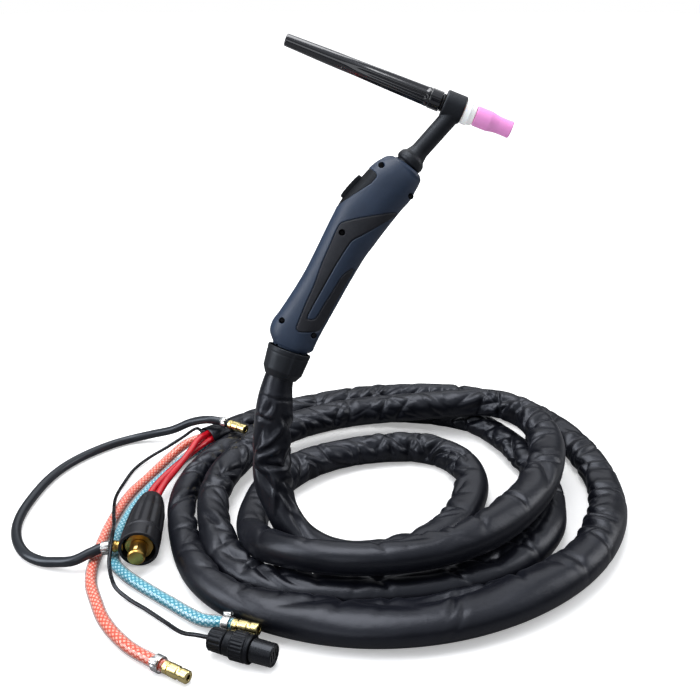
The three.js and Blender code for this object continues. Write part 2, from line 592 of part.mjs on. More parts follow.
function sheath() {
  const sides = SHEATH_SIDES;
  // gives the polygon the area of the ellipse
  const scale = Math.sqrt(Math.PI / ((sides / 2) * Math.sin((2 * Math.PI) / sides)));
  const skin = (inset) => sheathFrames.flatMap((frame, i) => {
    const [halfWidth, halfHeight] = SHEATH[i].slice(3);
    return frameRing(frame, (halfWidth - inset) * scale, (halfHeight - inset) * scale, sides);
  });
  const last = sheathFrames.length - 1;
  const outer = (i, j) => i * sides + (j % sides);
  const inner = (i, j) => (last + 1) * sides + outer(i, j);
  const indices = [];
  const quad = (a, b, c, d) => indices.push(a, b, c, c, b, d);
  for (let j = 0; j < sides; j++) {
    for (let i = 0; i < last; i++) {
      quad(outer(i, j), outer(i, j + 1), outer(i + 1, j), outer(i + 1, j + 1));
      quad(inner(i, j), inner(i + 1, j), inner(i, j + 1), inner(i + 1, j + 1));
    }
    quad(outer(0, j), inner(0, j), outer(0, j + 1), inner(0, j + 1));
    quad(outer(last, j), outer(last, j + 1), inner(last, j), inner(last, j + 1));
  }
  return indexed([...skin(0), ...skin(SHEATH_WALL)], indices);
}

add(root, 'sheath', sheath(), MATERIALS.sheath);

// ---------------------------------------------------------------- hoses inside the sheath
// offset: sideways and upwards from the sheath's centre line; tail: knots outside the sheath;
// end: a last point, for a hose that meets a plug
const HOSES = [
  {
    name: 'power_cable', material: MATERIALS.red,
    offset: [-7.0, 2.6], radius: PLAIN_HOSE_RADIUS, sides: 7, samples: 10,
    tail: [[-205.0, 83.0, 15.0], [-216.0, 57.0, 15.6], [-226.8, 25.0, 17.4],
      [-234.4, -3.5, 17.9], [-235.8, -20.0, 17.9], [-234.9, -39, 17.9]],
  }, {
    name: 'gas_line', material: MATERIALS.red,
    offset: [-1.6, 7.6], radius: PLAIN_HOSE_RADIUS, sides: 7, samples: 10,
    tail: [[-206.0, 85.0, 22.6], [-210.5, 61.7, 21.8], [-217.2, 32.4, 21.2],
      [-225.2, 4.6, 18.8], [-228.0, -20.0, 17.9], [-226.9, -39, 17.9]],
  }, {
    name: 'coolant_return_hose', material: MATERIALS.hoseRed,
    offset: [5.6, 1.2], radius: RETURN_HOSE_RADIUS, sides: 7, samples: 20,
    tail: [[-220.0, 93.8, 13.5], [-236.5, 69.0, 8.0], [-249.8, 36.7, 5.6], [-260.2, 6.5, 5.6],
      [-265.0, -25.3, 5.6], [-267.0, -56.5, 5.6], [-266.5, -85.6, 5.6], [-265.5, -110.0, 5.6],
      [-260.5, -133.0, 5.6], [-250.5, -154.6, 5.6], [-238.8, -176.3, 5.6],
      [-224.6, -194.5, 5.6], [-208.0, -210.4, 5.8], [-190.3, -222.5, 6.3]],
    end: RETURN_END.origin,
  }, {
    name: 'coolant_feed_hose', material: MATERIALS.hoseBlue,
    offset: [-2.8, -5.6], radius: FEED_HOSE_RADIUS, sides: 7, samples: 20,
    tail: [[-217.5, 79.0, 6.4], [-230.4, 49.6, 5.7], [-242.0, 21.0, 5.7], [-249.3, -6.5, 5.7],
      [-253.5, -32.4, 5.7], [-254.8, -58.4, 5.7], [-253.5, -84.0, 5.7], [-247.0, -106.0, 5.7],
      [-234.5, -121.0, 5.7], [-218.8, -134.6, 5.7], [-203.7, -146.4, 5.7],
      [-188.4, -157.9, 5.7], [-173.5, -169.6, 6.0], [-159.5, -179.8, 7.6],
      [-143.8, -187.3, 11.6]],
    end: FEED_END.origin,
  }, {
    name: 'control_cable', material: MATERIALS.black,
    offset: [4.6, 8.4], radius: 1.7, sides: 5, samples: 24,
    tail: [[-212.6, 115.0, 21.0], [-227.0, 109.5, 13.2], [-241.5, 97.3, 8.0],
      [-257.6, 81.9, 4.0], [-269.2, 59.3, 2.7], [-273.4, 31.7, 2.7], [-271.5, -6.1, 9.5],
      [-264.2, -39.6, 15.6], [-256.9, -66.4, 18.5], [-251.8, -88.0, 24.8],
      [-248.1, -107.9, 26.0], [-246.1, -124.3, 18.5], [-239.7, -137.0, 7.0],
      [-226.8, -148.0, 3.2], [-208.6, -161.4, 2.7], [-190.3, -176.7, 3.2],
      [-173.4, -192.5, 6.0], [-161.0, -200.0, 10.2], [-151.5, -204.1, 11.6]],
    end: vec(-146.5, -205.9, 11.7),
  },
];
const HOSE_START = 1.5;             // first ring, past the start of the sheath
const HOSE_EXIT = [-34, -14, 2];    // knots before and past the open end of the sheath

// a three-sided run hidden in the sheath, then a round visible tail
function hose({ offset, radius, sides, samples, tail, end }) {
  const phase = Math.atan2(offset[1], offset[0]) + Math.PI / 3;
  const hidden = sheathFrames.slice(0, -1).map((frame, i) => (
    frameRing(frame, radius, radius, 3, phase, [...offset, i === 0 ? HOSE_START : 0])));

  const exit = HOSE_EXIT.map((forwards) => framePoint(sheathFrames.at(-1), ...offset, forwards));
  const knots = [...exit, ...tail.map((point) => vec(...point))];
  const path = smoothCurve(knots).getSpacedPoints(samples);
  if (end) path.push(end);
  // start the round rings near the corner that the three-sided run starts with
  const turn = Math.round(((phase - Math.PI / sides) / (2 * Math.PI)) * sides);
  const visible = tubeRings(path, radius, sides).map((ring) => (
    ring.map((_, j) => ring[THREE.MathUtils.euclideanModulo(j + turn, sides)])));
  return loft([...hidden, ...visible]);
}

for (const spec of HOSES) add(root, spec.name, hose(spec), spec.material);

// ---------------------------------------------------------------- gas hose, quick plugs, clamps
const GAS_HOSE_KNOTS = [
  [-197.4, 110.9, 34], [-217.6, 117.7, 27.5], [-240.6, 121.2, 16], [-263.1, 123.6, 9.5],
  [-285.2, 121.1, 5.2], [-302.6, 110.5, 4.8], [-320.0, 93.8, 4.8], [-334.8, 74.4, 4.8],
  [-345.3, 53.8, 4.8], [-352.1, 30.1, 4.8], [-355.7, 2.1, 4.8], [-356.5, -26.0, 4.8],
  [-352.8, -50.7, 4.8], [-342.9, -74.2, 4.8], [-328.6, -92.0, 4.8], [-312.0, -101.7, 5.2],
  [-297.4, -105.9, 7.5], [-281.3, -109.2, 11.5], [-269.5, -105.1, 15.5], [-261.0, -101.0, 17.8],
];
const QUICK_PLUG = [[0, 0], [0, 4.9], [4.2, 4.9], [4.2, 4.1], [5.4, 4.1], [5.4, 5.1], [12.5, 5.1],
  [13.3, 4.4], [15.3, 4.4], [16.0, 4.9], [21.6, 4.9], [22.2, 4.3], [22.2, 2.2], [12, 2.2], [12, 0]];
// names of plug and clamp, hose end, plug and clamp places along it, hose radius, ear direction
const HOSE_ENDS = [
  ['gas_quick_plug', 'gas_plug_clamp', GAS_END, 1.4, -8.2, GAS_HOSE_RADIUS, vec(-0.3, -0.5, 0.8)],
  ['return_quick_plug', 'return_hose_clamp', RETURN_END, 0.4, -9.0, RETURN_HOSE_RADIUS,
    vec(-0.4, -0.5, 0.77)],
  ['feed_quick_plug', 'feed_hose_clamp', FEED_END, 0.4, -8.6, FEED_HOSE_RADIUS,
    vec(0.2, 0.4, 0.9)],
];
// ear: size around, along and out from the band, and its centre's height over the hose
const CLAMP = { width: 7, clearance: 0.6, outer: 1.5, ear: [4.6, 4.4, 2.6], earHeight: 2.2 };

// from the gas quick plug round to the welder plug
function gasSupplyHose() {
  const knots = [shift(GAS_END, -9.5).origin, ...GAS_HOSE_KNOTS.map((point) => vec(...point))];
  const path = [shift(GAS_END, 1).origin, ...smoothCurve(knots).getSpacedPoints(28),
    vec(-251.0, -99.2, 17.9)];
  return loft(tubeRings(path, GAS_HOSE_RADIUS, 7));
}

// band round a hose, with an ear on the side that earDir points to
function hoseClamp(axis, hoseRadius, earDir) {
  const profile = ringProfile(0, CLAMP.width, hoseRadius + CLAMP.clearance,
    hoseRadius + CLAMP.outer);
  const along = axis.dir.clone().normalize();
  const out = earDir.clone().normalize();
  const centre = axis.origin.clone().addScaledVector(along, CLAMP.width / 2)
    .addScaledVector(out, hoseRadius + CLAMP.earHeight);
  const frame = new THREE.Matrix4().makeBasis(along.clone().cross(out), along, out)
    .setPosition(centre);
  const ear = new THREE.BoxGeometry(...CLAMP.ear).applyMatrix4(frame);
  return turnedSolid(profile, axis, 12).add(solid(ear));
}

add(root, 'gas_supply_hose', gasSupplyHose(), MATERIALS.black);
for (const [plug, clamp, end, plugAt, clampAt, radius, earDir] of HOSE_ENDS) {
  add(root, plug, turned(QUICK_PLUG, shift(end, plugAt), 12), MATERIALS.paleBrass);
  add(root, clamp, hoseClamp(shift(end, clampAt), radius, earDir), MATERIALS.steel);
}

// ---------------------------------------------------------------- welder plug
const sleeveStart = vec(-231.8, -24.0, 17.9);
const sleeveEnd = vec(-226.8, -102.0, 17.9);
const sleeveLength = sleeveEnd.distanceTo(sleeveStart);
const sleeveAxis = { origin: sleeveStart, dir: sleeveEnd.clone().sub(sleeveStart).normalize() };
const bodyAxis = shift(sleeveAxis, sleeveLength - 24);
const nippleAxis = {
  origin: shift(sleeveAxis, sleeveLength - 6.6).origin,
  dir: vec(-0.985, -0.1, 0).normalize(),
};
const nippleClampAxis = { origin: vec(-252.4, -99.45, 17.9), dir: vec(-0.985, -0.18, 0) };
const NIPPLE = [[13.8, 0], [13.8, 4.4], [19.2, 4.4], [19.6, 5.2], [22.6, 5.2], [22.9, 4.2],
  [23.4, 4.2], [23.4, 1.8], [16, 1.8], [16, 0]];

// rubber sleeve with a side hole for the nipple
function plugSleeve() {
  const end = sleeveLength;
  const sleeve = turnedSolid([[0, 8.0], [0, 10.2], [1.2, 10.8], [10, 13.2], [26, 15.8],
    [46, 16.9], [60, 17.4], [61, 16.8], [63, 16.8], [64, 17.5], [end, 17.5], [end, 14.6],
    [end - 32, 14.6], [end - 36, 9.4], [0, 8.0]], sleeveAxis, 16);
  return cut(sleeve, rod(10, 30, 4.9, nippleAxis, 12));
}

// hexagon with a round crimp behind it
function plugBody() {
  const hexagon = turnedSolid([[0, 0], [0, 12.4], [1, 13.4], [19, 13.4], [20, 12.4], [20, 0]],
    bodyAxis, 6);
  const crimp = rod(-9, 1, 8.6, bodyAxis, 14);
  return cut(hexagon.add(crimp), rod(8, 21, 4.2, bodyAxis, 12));
}

// pin with its locking key on top
function plugPin() {
  const pin = turnedSolid([[12.6, 0], [12.6, 3.8], [20.4, 3.8], [20.4, 7.6], [35.5, 7.6],
    [37, 6.6], [37, 0]], bodyAxis, 16);
  const key = box([-1.9, 1.9], [0, 8.8], [-5, 5]).applyMatrix4(axisFrame(shift(bodyAxis, 30)));
  return pin.add(solid(key));
}

add(root, 'dinse_sleeve', plugSleeve(), MATERIALS.rubber);
add(root, 'dinse_body', plugBody(), MATERIALS.brass);
add(root, 'dinse_pin', plugPin(), MATERIALS.brass);
add(root, 'gas_nipple', turned(NIPPLE, nippleAxis, 12), MATERIALS.brass);
add(root, 'gas_nipple_clamp', hoseClamp(nippleClampAxis, GAS_HOSE_RADIUS, vec(0.1, -0.75, 0.66)),
  MATERIALS.steel);

// ---------------------------------------------------------------- control plug
const CONTROL_AXIS = { origin: vec(-149.0, -205.0, 11.7), dir: vec(51.7, -19.5, 0).normalize() };
// turned parts from the cable side: name, segments, profile
const CONTROL_PARTS = [
  ['control_plug_gland', 12, [[0, 2.6], [0, 8.2], [1.5, 9.0], [12.5, 9.4], [13.4, 8.4],
    [13.4, 2.6], [0, 2.6]]],
  ['control_plug_shell', 14, [[13.7, 2.6], [13.7, 8.8], [14.4, 9.6], [19.4, 9.6], [19.4, 8.2],
    [35.4, 8.2], [35.4, 2.6], [13.7, 2.6]]],
  ['control_plug_coupling', 14, [[19.7, 8.5], [19.7, 10.8], [20.4, 11.3], [31.0, 11.3],
    [31.7, 10.6], [32.4, 10.6], [33.0, 11.2], [35.0, 11.2], [35.4, 10.8], [35.4, 8.5],
    [19.7, 8.5]]],
];
const SLOT = { pitch: 3.8, halfWidth: 0.8, halfHeight: 3.2, depth: [46, 56] };

// end piece with three upright slots in its face
function plugInsert() {
  const insert = turnedSolid([[35.7, 0], [35.7, 9.0], [52.6, 8.8], [53.4, 8.2], [53.4, 0]],
    CONTROL_AXIS, 16);
  const slots = [-SLOT.pitch, 0, SLOT.pitch].map((x) => (
    solid(box([x - SLOT.halfWidth, x + SLOT.halfWidth], [-SLOT.halfHeight, SLOT.halfHeight],
      SLOT.depth).applyMatrix4(axisFrame(CONTROL_AXIS)))));
  return cut(insert, ...slots);
}

for (const [name, segments, profile] of CONTROL_PARTS) {
  add(root, name, turned(profile, CONTROL_AXIS, segments), MATERIALS.black);
}
add(root, 'control_plug_insert', plugInsert(), MATERIALS.black);

export default root;
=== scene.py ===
"""Looks for a TIG torch and its coiled cable set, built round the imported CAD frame.

The cable lies coiled on the floor (z = 0) and the torch stands in a plane that leans back over it.
+X is right, -Y is the front, where the camera stands, and +Z is up. Lengths are in millimetres
and angles round a section in radians, unless a comment says otherwise.
"""
import math

import bpy
import numpy as np
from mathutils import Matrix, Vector


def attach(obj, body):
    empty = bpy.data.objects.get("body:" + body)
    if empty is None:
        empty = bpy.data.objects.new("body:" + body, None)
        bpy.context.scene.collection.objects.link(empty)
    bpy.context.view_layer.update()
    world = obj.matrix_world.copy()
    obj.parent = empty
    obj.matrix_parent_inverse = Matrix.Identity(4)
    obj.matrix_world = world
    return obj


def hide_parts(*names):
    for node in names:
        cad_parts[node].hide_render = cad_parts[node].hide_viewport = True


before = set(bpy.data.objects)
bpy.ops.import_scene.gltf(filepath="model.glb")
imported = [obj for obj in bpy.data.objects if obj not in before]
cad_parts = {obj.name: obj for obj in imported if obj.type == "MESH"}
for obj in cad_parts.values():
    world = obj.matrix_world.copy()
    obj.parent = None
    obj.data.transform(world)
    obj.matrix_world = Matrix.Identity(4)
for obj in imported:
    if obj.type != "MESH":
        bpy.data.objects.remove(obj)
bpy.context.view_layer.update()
MM = 0.001
TAU = 2 * math.pi
UP = np.array([0, 0, 1.0])
# Pieces are drawn about the centre of the coil; the frame's origin is the middle of the footprint.
SHIFT = np.array((69.01, 7.41, 0.3))


def unit(v):
    v = np.asarray(v, float)
    return v / np.linalg.norm(v)


# ---------------------------------------------------------------- the torch plane
LEAN = math.radians(17)
BASE_Y = -85.28


def leaned(p):
    """Turns (x, y through the thickness, z) back by the lean."""
    p = np.asarray(p, float)
    x, y, z = p[..., 0], p[..., 1], p[..., 2]
    cos, sin = math.cos(LEAN), math.sin(LEAN)
    return np.stack([x, y * cos + z * sin, -y * sin + z * cos], -1)


def torch_point(p):
    return leaned(p) + np.array((0, BASE_Y, 0))


def torch_direction(x, z):
    v = leaned((x, 0, z))
    return v / np.linalg.norm(v, axis=-1)


HEAD = torch_point((44.2, 0, 390.4))
HEAD_DIR = torch_direction(0.931, -0.365)
NECK_XZ = np.array([41.8, 382.8])
NECK_AXIS = np.array([0.668, 0.744])        # x, z, from the handle up to the head
NECK_TOP = torch_point((NECK_XZ[0], 0, NECK_XZ[1]))
NECK_DIR = -torch_direction(*NECK_AXIS)
NECK_LEN = 62.0
BALL = torch_point((-95.8, 0, 184.8))
COLLAR_DIR = torch_direction(0.329, 0.944)
HANDLE_AXIS = np.array([0.376, 0.926])
HANDLE_DIR = torch_direction(*HANDLE_AXIS)

# ---------------------------------------------------------------- studio settings
FLOOR_GLOW = 0.32       # emission of the near floor, as the camera sees it
WORLD = 0.22
EXPOSURE = 0.0
# name, place, aim (metres), size (metres), watts, colour
LIGHTS = [
    ("key_overhead", (-0.35, 0.15, 1.75), (-0.03, 0.0, 0.0), (1.5, 1.3), 30, (1.0, 1.0, 1.0)),
    ("left_panel", (-1.7, -0.5, 0.9), (-0.05, 0.0, 0.15), (0.7, 1.4), 20, (0.96, 0.98, 1.0)),
    ("back_panel", (0.1, 1.7, 1.35), (0.0, 0.0, 0.12), (2.2, 0.9), 5.5, (1.0, 1.0, 1.0)),
    ("front_fill", (-0.45, -1.25, 0.55), (-0.08, -0.1, 0.2), (0.6, 0.5), 1.4, (0.96, 0.98, 1.0)),
    ("right_panel", (1.6, 0.4, 0.9), (0.0, 0.0, 0.1), (0.7, 1.2), 9, (1.0, 0.99, 0.97)),
]
CAMERA_AT = (-0.0435, -0.715, 0.460)    # metres
CAMERA_TILT = math.radians(67.4)
LENS, SENSOR = 43.71, 36


# ---------------------------------------------------------------- curves and outlines
def ease(x):
    x = np.clip(x, 0.0, 1.0)
    return x * x * (3 - 2 * x)


def wrapped(angle):
    return (angle + math.pi) % TAU - math.pi


def squircle(angle, power):
    """Unit superellipse: 2 gives a circle, more gives a squarer section."""
    p = 2 / power
    cos, sin = np.cos(angle), np.sin(angle)
    return np.sign(cos) * np.abs(cos) ** p, np.sign(sin) * np.abs(sin) ** p


def flutes(angle, count, power=1.0):
    """Evenly spaced crests from 0 to 1 round a section; a higher power narrows them."""
    return (0.5 + 0.5 * np.cos(count * angle)) ** power


def fillet(profile, radius, closed=False, steps=4):
    """Rounds the corners of (h, r) points by at most radius, or by a point's own third value."""
    points = [np.array(p[:2], float) for p in profile]
    radii = [p[2] if len(p) > 2 else radius for p in profile]
    out, n = [], len(points)
    for k in range(n):
        corner = points[k]
        if not closed and k in (0, n - 1):
            out.append(corner)
            continue
        back, ahead = points[k - 1] - corner, points[(k + 1) % n] - corner
        back_len, ahead_len = np.linalg.norm(back), np.linalg.norm(ahead)
        back, ahead = back / back_len, ahead / ahead_len
        bend = math.acos(max(-1, min(1, float(np.dot(-back, ahead)))))
        if bend < 0.12 or radii[k] <= 0:
            out.append(corner)
            continue
        cut = min(radii[k] * math.tan(bend / 2), 0.42 * back_len, 0.42 * ahead_len)
        start, end = corner + back * cut, corner + ahead * cut
        for i in range(steps + 1):
            t = i / steps
            out.append((1 - t) ** 2 * start + 2 * t * (1 - t) * corner + t * t * end)
    return np.array(out)


def resample(line, step, closed=False):
    """Splits the segments longer than the step; every given point stays."""
    out = []
    n = len(line)
    for k in range(n if closed else n - 1):
        a, b = line[k], line[(k + 1) % n]
        count = max(1, int(math.ceil(np.linalg.norm(b - a) / step)))
        for i in range(count):
            out.append(a + (b - a) * i / count)
    if not closed:
        out.append(line[-1])
    return np.array(out)


def catmull(points, per=24):
    """Centripetal Catmull-Rom, spaced by the first three columns; the others ride along."""
    p = np.asarray(points, float)
    p = np.vstack([2 * p[0] - p[1], p, 2 * p[-1] - p[-2]])
    out = []
    for k in range(1, len(p) - 2):
        p0, p1, p2, p3 = p[k - 1:k + 3]
        t0 = 0.0
        t1 = t0 + max(1e-4, np.linalg.norm(p1[:3] - p0[:3])) ** 0.5
        t2 = t1 + max(1e-4, np.linalg.norm(p2[:3] - p1[:3])) ** 0.5
        t3 = t2 + max(1e-4, np.linalg.norm(p3[:3] - p2[:3])) ** 0.5
        t = np.linspace(t1, t2, per, endpoint=False)[:, None]
        a1 = (t1 - t) / (t1 - t0) * p0 + (t - t0) / (t1 - t0) * p1
        a2 = (t2 - t) / (t2 - t1) * p1 + (t - t1) / (t2 - t1) * p2
        a3 = (t3 - t) / (t3 - t2) * p2 + (t - t2) / (t3 - t2) * p3
        b1 = (t2 - t) / (t2 - t0) * a1 + (t - t0) / (t2 - t0) * a2
        b2 = (t3 - t) / (t3 - t1) * a2 + (t - t1) / (t3 - t1) * a3
        out.append((t2 - t) / (t2 - t1) * b1 + (t - t1) / (t2 - t1) * b2)
    out.append(p[-2][None, :])
    return np.vstack(out)


def interp_rows(at, known, rows):
    return np.stack([np.interp(at, known, rows[:, k]) for k in range(rows.shape[1])], 1)


def by_length(path, step):
    """Evenly spaced samples along a dense path, and their distances; extra columns ride along."""
    gaps = np.linalg.norm(np.diff(path[:, :3], axis=0), axis=1)
    distance = np.concatenate([[0], np.cumsum(gaps)])
    n = max(2, int(round(distance[-1] / step)) + 1)
    along = np.linspace(0, distance[-1], n)
    return along, interp_rows(along, distance, path)


def path_axes(points):
    """Tangent, level sideways and upward directions along a path."""
    tangent = np.gradient(points, axis=0)
    tangent /= np.linalg.norm(tangent, axis=1, keepdims=True)
    level = np.cross(tangent, UP)
    level /= np.linalg.norm(level, axis=1, keepdims=True)
    return tangent, level, np.cross(level, tangent)


def smoothed(values, kernel):
    kernel = kernel / kernel.sum()
    return np.convolve(np.pad(values, len(kernel) // 2, mode="edge"), kernel, mode="valid")


# ---------------------------------------------------------------- meshes
def make_object(name, verts, faces, uv=None, smooth=True):
    """verts in mm; faces is a list of index arrays, each (count, corners)."""
    mesh = bpy.data.meshes.new(name)
    verts = np.asarray(verts, float)
    mesh.vertices.add(len(verts))
    mesh.vertices.foreach_set("co", ((verts + SHIFT) * MM).astype(np.float32).ravel())
    loops = np.concatenate([f.ravel() for f in faces]).astype(np.int32)
    sizes = np.concatenate([np.full(len(f), f.shape[1]) for f in faces])
    starts = np.concatenate([[0], np.cumsum(sizes)[:-1]]).astype(np.int32)
    mesh.loops.add(len(loops))
    mesh.loops.foreach_set("vertex_index", loops)
    mesh.polygons.add(len(sizes))
    mesh.polygons.foreach_set("loop_start", starts)
    if uv is not None:
        layer = mesh.uv_layers.new(name="UVMap")
        layer.data.foreach_set("uv", np.asarray(uv, np.float32).ravel())
    mesh.update(calc_edges=True)
    mesh.validate()
    mesh.polygons.foreach_set("use_smooth", np.full(len(mesh.polygons), smooth))
    ob = bpy.data.objects.new(name, mesh)
    bpy.context.scene.collection.objects.link(ob)
    return ob


def ring_quads(rings, sides, wrap=False):
    """Ring index, side index and corner indices of the quads between rings of points."""
    i, j = np.meshgrid(np.arange(rings if wrap else rings - 1), np.arange(sides), indexing="ij")
    i2, j2 = (i + 1) % rings, (j + 1) % sides
    corners = [i * sides + j, i * sides + j2, i2 * sides + j2, i2 * sides + j]
    return i, j, np.stack(corners, -1).reshape(-1, 4)


def signed_volume(points, quads):
    """Negative where the faces point inwards."""
    q = points[quads]
    normals = np.cross(q[:, 1] - q[:, 0], q[:, 2] - q[:, 0])
    return np.sum(normals * (q[:, 0] - points.mean(0)))


def skin(rings, u=None, v=None, wrap=False):
    """Points (rings, sides, 3) as (verts, faces, uv); u is per ring and v per side.
    The ends are capped unless the last ring joins the first."""
    rings = np.asarray(rings, float)
    n, m = rings.shape[:2]
    u = np.arange(n, dtype=float) if u is None else u
    v = np.arange(m + 1, dtype=float) / m if v is None else v
    i, j, quads = ring_quads(n, m, wrap)
    u_next = np.append(u, u[-1] + (u[-1] - u[-2]))
    uv = np.stack([np.stack([u_next[i + a], v[j + b]], -1)
                   for a, b in ((0, 0), (0, 1), (1, 1), (1, 0))], 2).reshape(-1, 4, 2)
    verts = rings.reshape(-1, 3)
    volume = signed_volume(verts, quads)
    if volume < 0:
        quads, uv = quads[:, ::-1], uv[:, ::-1]
    faces, uvs = [quads], [uv.reshape(-1, 2)]
    if not wrap:
        for ring, flip in ((0, volume > 0), (n - 1, volume < 0)):
            cap = np.arange(m) + ring * m
            faces.append((cap[::-1] if flip else cap)[None, :])
            uvs.append(np.tile([[u[ring], 0.0]], (m, 1)))
    return verts, faces, np.concatenate(uvs)


def build(name, *parts):
    """One object from parts made by skin."""
    verts, faces, uvs, base = [], [], [], 0
    for part_verts, part_faces, uv in parts:
        verts.append(part_verts)
        faces += [f + base for f in part_faces]
        uvs.append(uv)
        base += len(part_verts)
    return make_object(name, np.concatenate(verts), faces, np.concatenate(uvs))


def axes_for(direction, up=UP):
    d = unit(direction)
    e1 = unit(np.cross(d, np.asarray(up, float)))
    return d, e1, np.cross(e1, d)


def lathe(profile, origin, direction, seg=72, corner=0.35, step=1.2, closed=False, shape=None,
          up=UP):
    """Turns a profile of (distance along the axis, radius, optional own corner radius).
    shape(h, r, angle) may change the radii."""
    line = resample(fillet(profile, corner, closed), step, closed)
    d, e1, e2 = axes_for(direction, up)
    angle = np.arange(seg) / seg * TAU
    h = np.repeat(line[:, :1], seg, 1)
    r = np.repeat(np.maximum(line[:, 1:], 0.02), seg, 1)
    if shape is not None:
        r = shape(h, r, angle[None, :])
    rings = (np.asarray(origin, float) + h[..., None] * d
             + ((r * np.cos(angle))[..., None] * e1 + (r * np.sin(angle))[..., None] * e2))
    u = np.concatenate([[0], np.cumsum(np.linalg.norm(np.diff(line, axis=0), axis=1))])
    v = np.arange(seg + 1) / seg * TAU * max(1.0, float(np.max(line[:, 1])))
    return skin(rings, u, v, wrap=closed)


def tube(path, radius, sides, step):
    along, p = by_length(np.asarray(path, float), step)
    _, level, up = path_axes(p)
    angle = np.arange(sides) / sides * TAU
    rings = (p[:, None, :] + (radius * np.cos(angle))[:, None] * level[:, None, :]
             + (radius * np.sin(angle))[:, None] * up[:, None, :])
    return skin(rings, along, np.arange(sides + 1) / sides * TAU * radius)


def prism(origin, side, up, axis, sections):
    """A solid through sections of (distance along the axis, outline of (side, up) points)."""
    return skin([[origin + side * x + up * z + axis * w for x, z in outline]
                 for w, outline in sections])


def bake(ob, kind, **settings):
    """Adds a modifier and replaces the mesh by its result."""
    modifier = ob.modifiers.new(kind, kind)
    for key, value in settings.items():
        setattr(modifier, key, value)
    graph = bpy.context.evaluated_depsgraph_get()
    mesh = bpy.data.meshes.new_from_object(ob.evaluated_get(graph))
    ob.modifiers.clear()
    ob.data = mesh
    mesh.polygons.foreach_set("use_smooth", np.full(len(mesh.polygons), True))


def boolean(ob, cutter, operation):
    bake(ob, "BOOLEAN", operation=operation, object=cutter, solver="EXACT")
    bpy.data.objects.remove(cutter)


def paint(ob, material):
    ob.data.materials.clear()
    ob.data.materials.append(MATERIALS[material].material)


def dress(ob, material, body, node, sharp=None):
    """Material, moving body and CAD node it stands for; sharp is an edge angle."""
    if sharp:
        ob.data.set_sharp_from_angle(angle=math.radians(sharp))
    paint(ob, material)
    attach(ob, body)
    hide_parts(node)


# ---------------------------------------------------------------- shader graphs
class Graph:
    """Short ways to add and link the nodes of one tree."""

    def __init__(self, tree):
        self.tree = tree

    def feed(self, socket, value):
        """Links an output to the socket, or sets its value; colours come without alpha."""
        if isinstance(value, bpy.types.NodeSocket):
            self.tree.links.new(value, socket)
        else:
            socket.default_value = (*value, 1.0) if socket.type == "RGBA" else value

    def node(self, kind, inputs=None, **settings):
        """Adds a node and returns its outputs."""
        made = self.tree.nodes.new("ShaderNode" + kind)
        for key, value in settings.items():
            setattr(made, key, value)
        for key, value in (inputs or {}).items():
            self.feed(made.inputs[key], value)
        return made.outputs

    def mix_shader(self, factor, first, second):
        return self.node("MixShader", {0: factor, 1: first, 2: second})[0]


class Mat(Graph):
    """A material; keyword values are Principled inputs, with _ for a space."""

    def __init__(self, name, **values):
        self.material = bpy.data.materials.new(name)
        self.material.use_nodes = True
        super().__init__(self.material.node_tree)
        self.surface = self.tree.nodes["Principled BSDF"]
        self.normal = None
        self.set(**values)

    def set(self, **values):
        for key, value in values.items():
            self.feed(self.surface.inputs[key.replace("_", " ")], value)

    def output(self, shader):
        self.feed(self.tree.nodes["Material Output"].inputs["Surface"], shader)

    def coords(self, kind="Object", stretch=(1, 1, 1)):
        source = self.node("TexCoord")[kind]
        return self.node("Mapping", {"Scale": stretch, "Vector": source})["Vector"]

    def noise(self, size, detail=3.0, roughness=0.5, kind="Object", stretch=(1, 1, 1),
              distortion=0.0):
        """size in mm; UVs are in mm already."""
        return self.node("TexNoise", {
            "Scale": (1000.0 if kind == "Object" else 1.0) / size, "Detail": detail,
            "Roughness": roughness, "Distortion": distortion,
            "Vector": self.coords(kind, stretch)})["Fac"]

    def wave(self, size, direction):
        """Bands size mm apart; the texture has one band per 0.314 units at scale 1."""
        return self.node("TexWave", {"Scale": 0.314159 / size, "Vector": self.coords("UV")},
                         bands_direction=direction)["Fac"]

    def ramp(self, factor, *stops):
        """Two stops of (position, colour)."""
        out = self.node("ValToRGB", {"Fac": factor})["Color"]
        for element, (position, colour) in zip(out.node.color_ramp.elements, stops):
            element.position = position
            element.color = (*colour, 1.0)
        return out

    def calc(self, operation, a, b=None, clamp=False):
        inputs = {0: a} if b is None else {0: a, 1: b}
        return self.node("Math", inputs, operation=operation, use_clamp=clamp)[0]

    def mix(self, factor, a, b):
        return self.node("Mix", {0: factor, 6: a, 7: b}, data_type="RGBA")[2]

    def rough(self, factor, low, high):
        self.set(Roughness=self.node("MapRange", {
            "To Min": low, "To Max": high, "Value": factor})[0])

    def bump(self, height, distance, strength=1.0):
        """distance in mm; each bump is laid over the one before."""
        inputs = {"Distance": distance * MM, "Strength": strength, "Height": height}
        if self.normal:
            inputs["Normal"] = self.normal
        self.normal = self.node("Bump", inputs)["Normal"]
        self.set(Normal=self.normal)

    def edges(self, colour, edge):
        """Lays a lighter worn colour over convex edges."""
        worn = self.node("MapRange", {
            "From Min": 0.52, "From Max": 0.62, "To Max": 0.35,
            "Value": self.node("NewGeometry")["Pointiness"]})[0]
        return self.mix(worn, colour, edge)


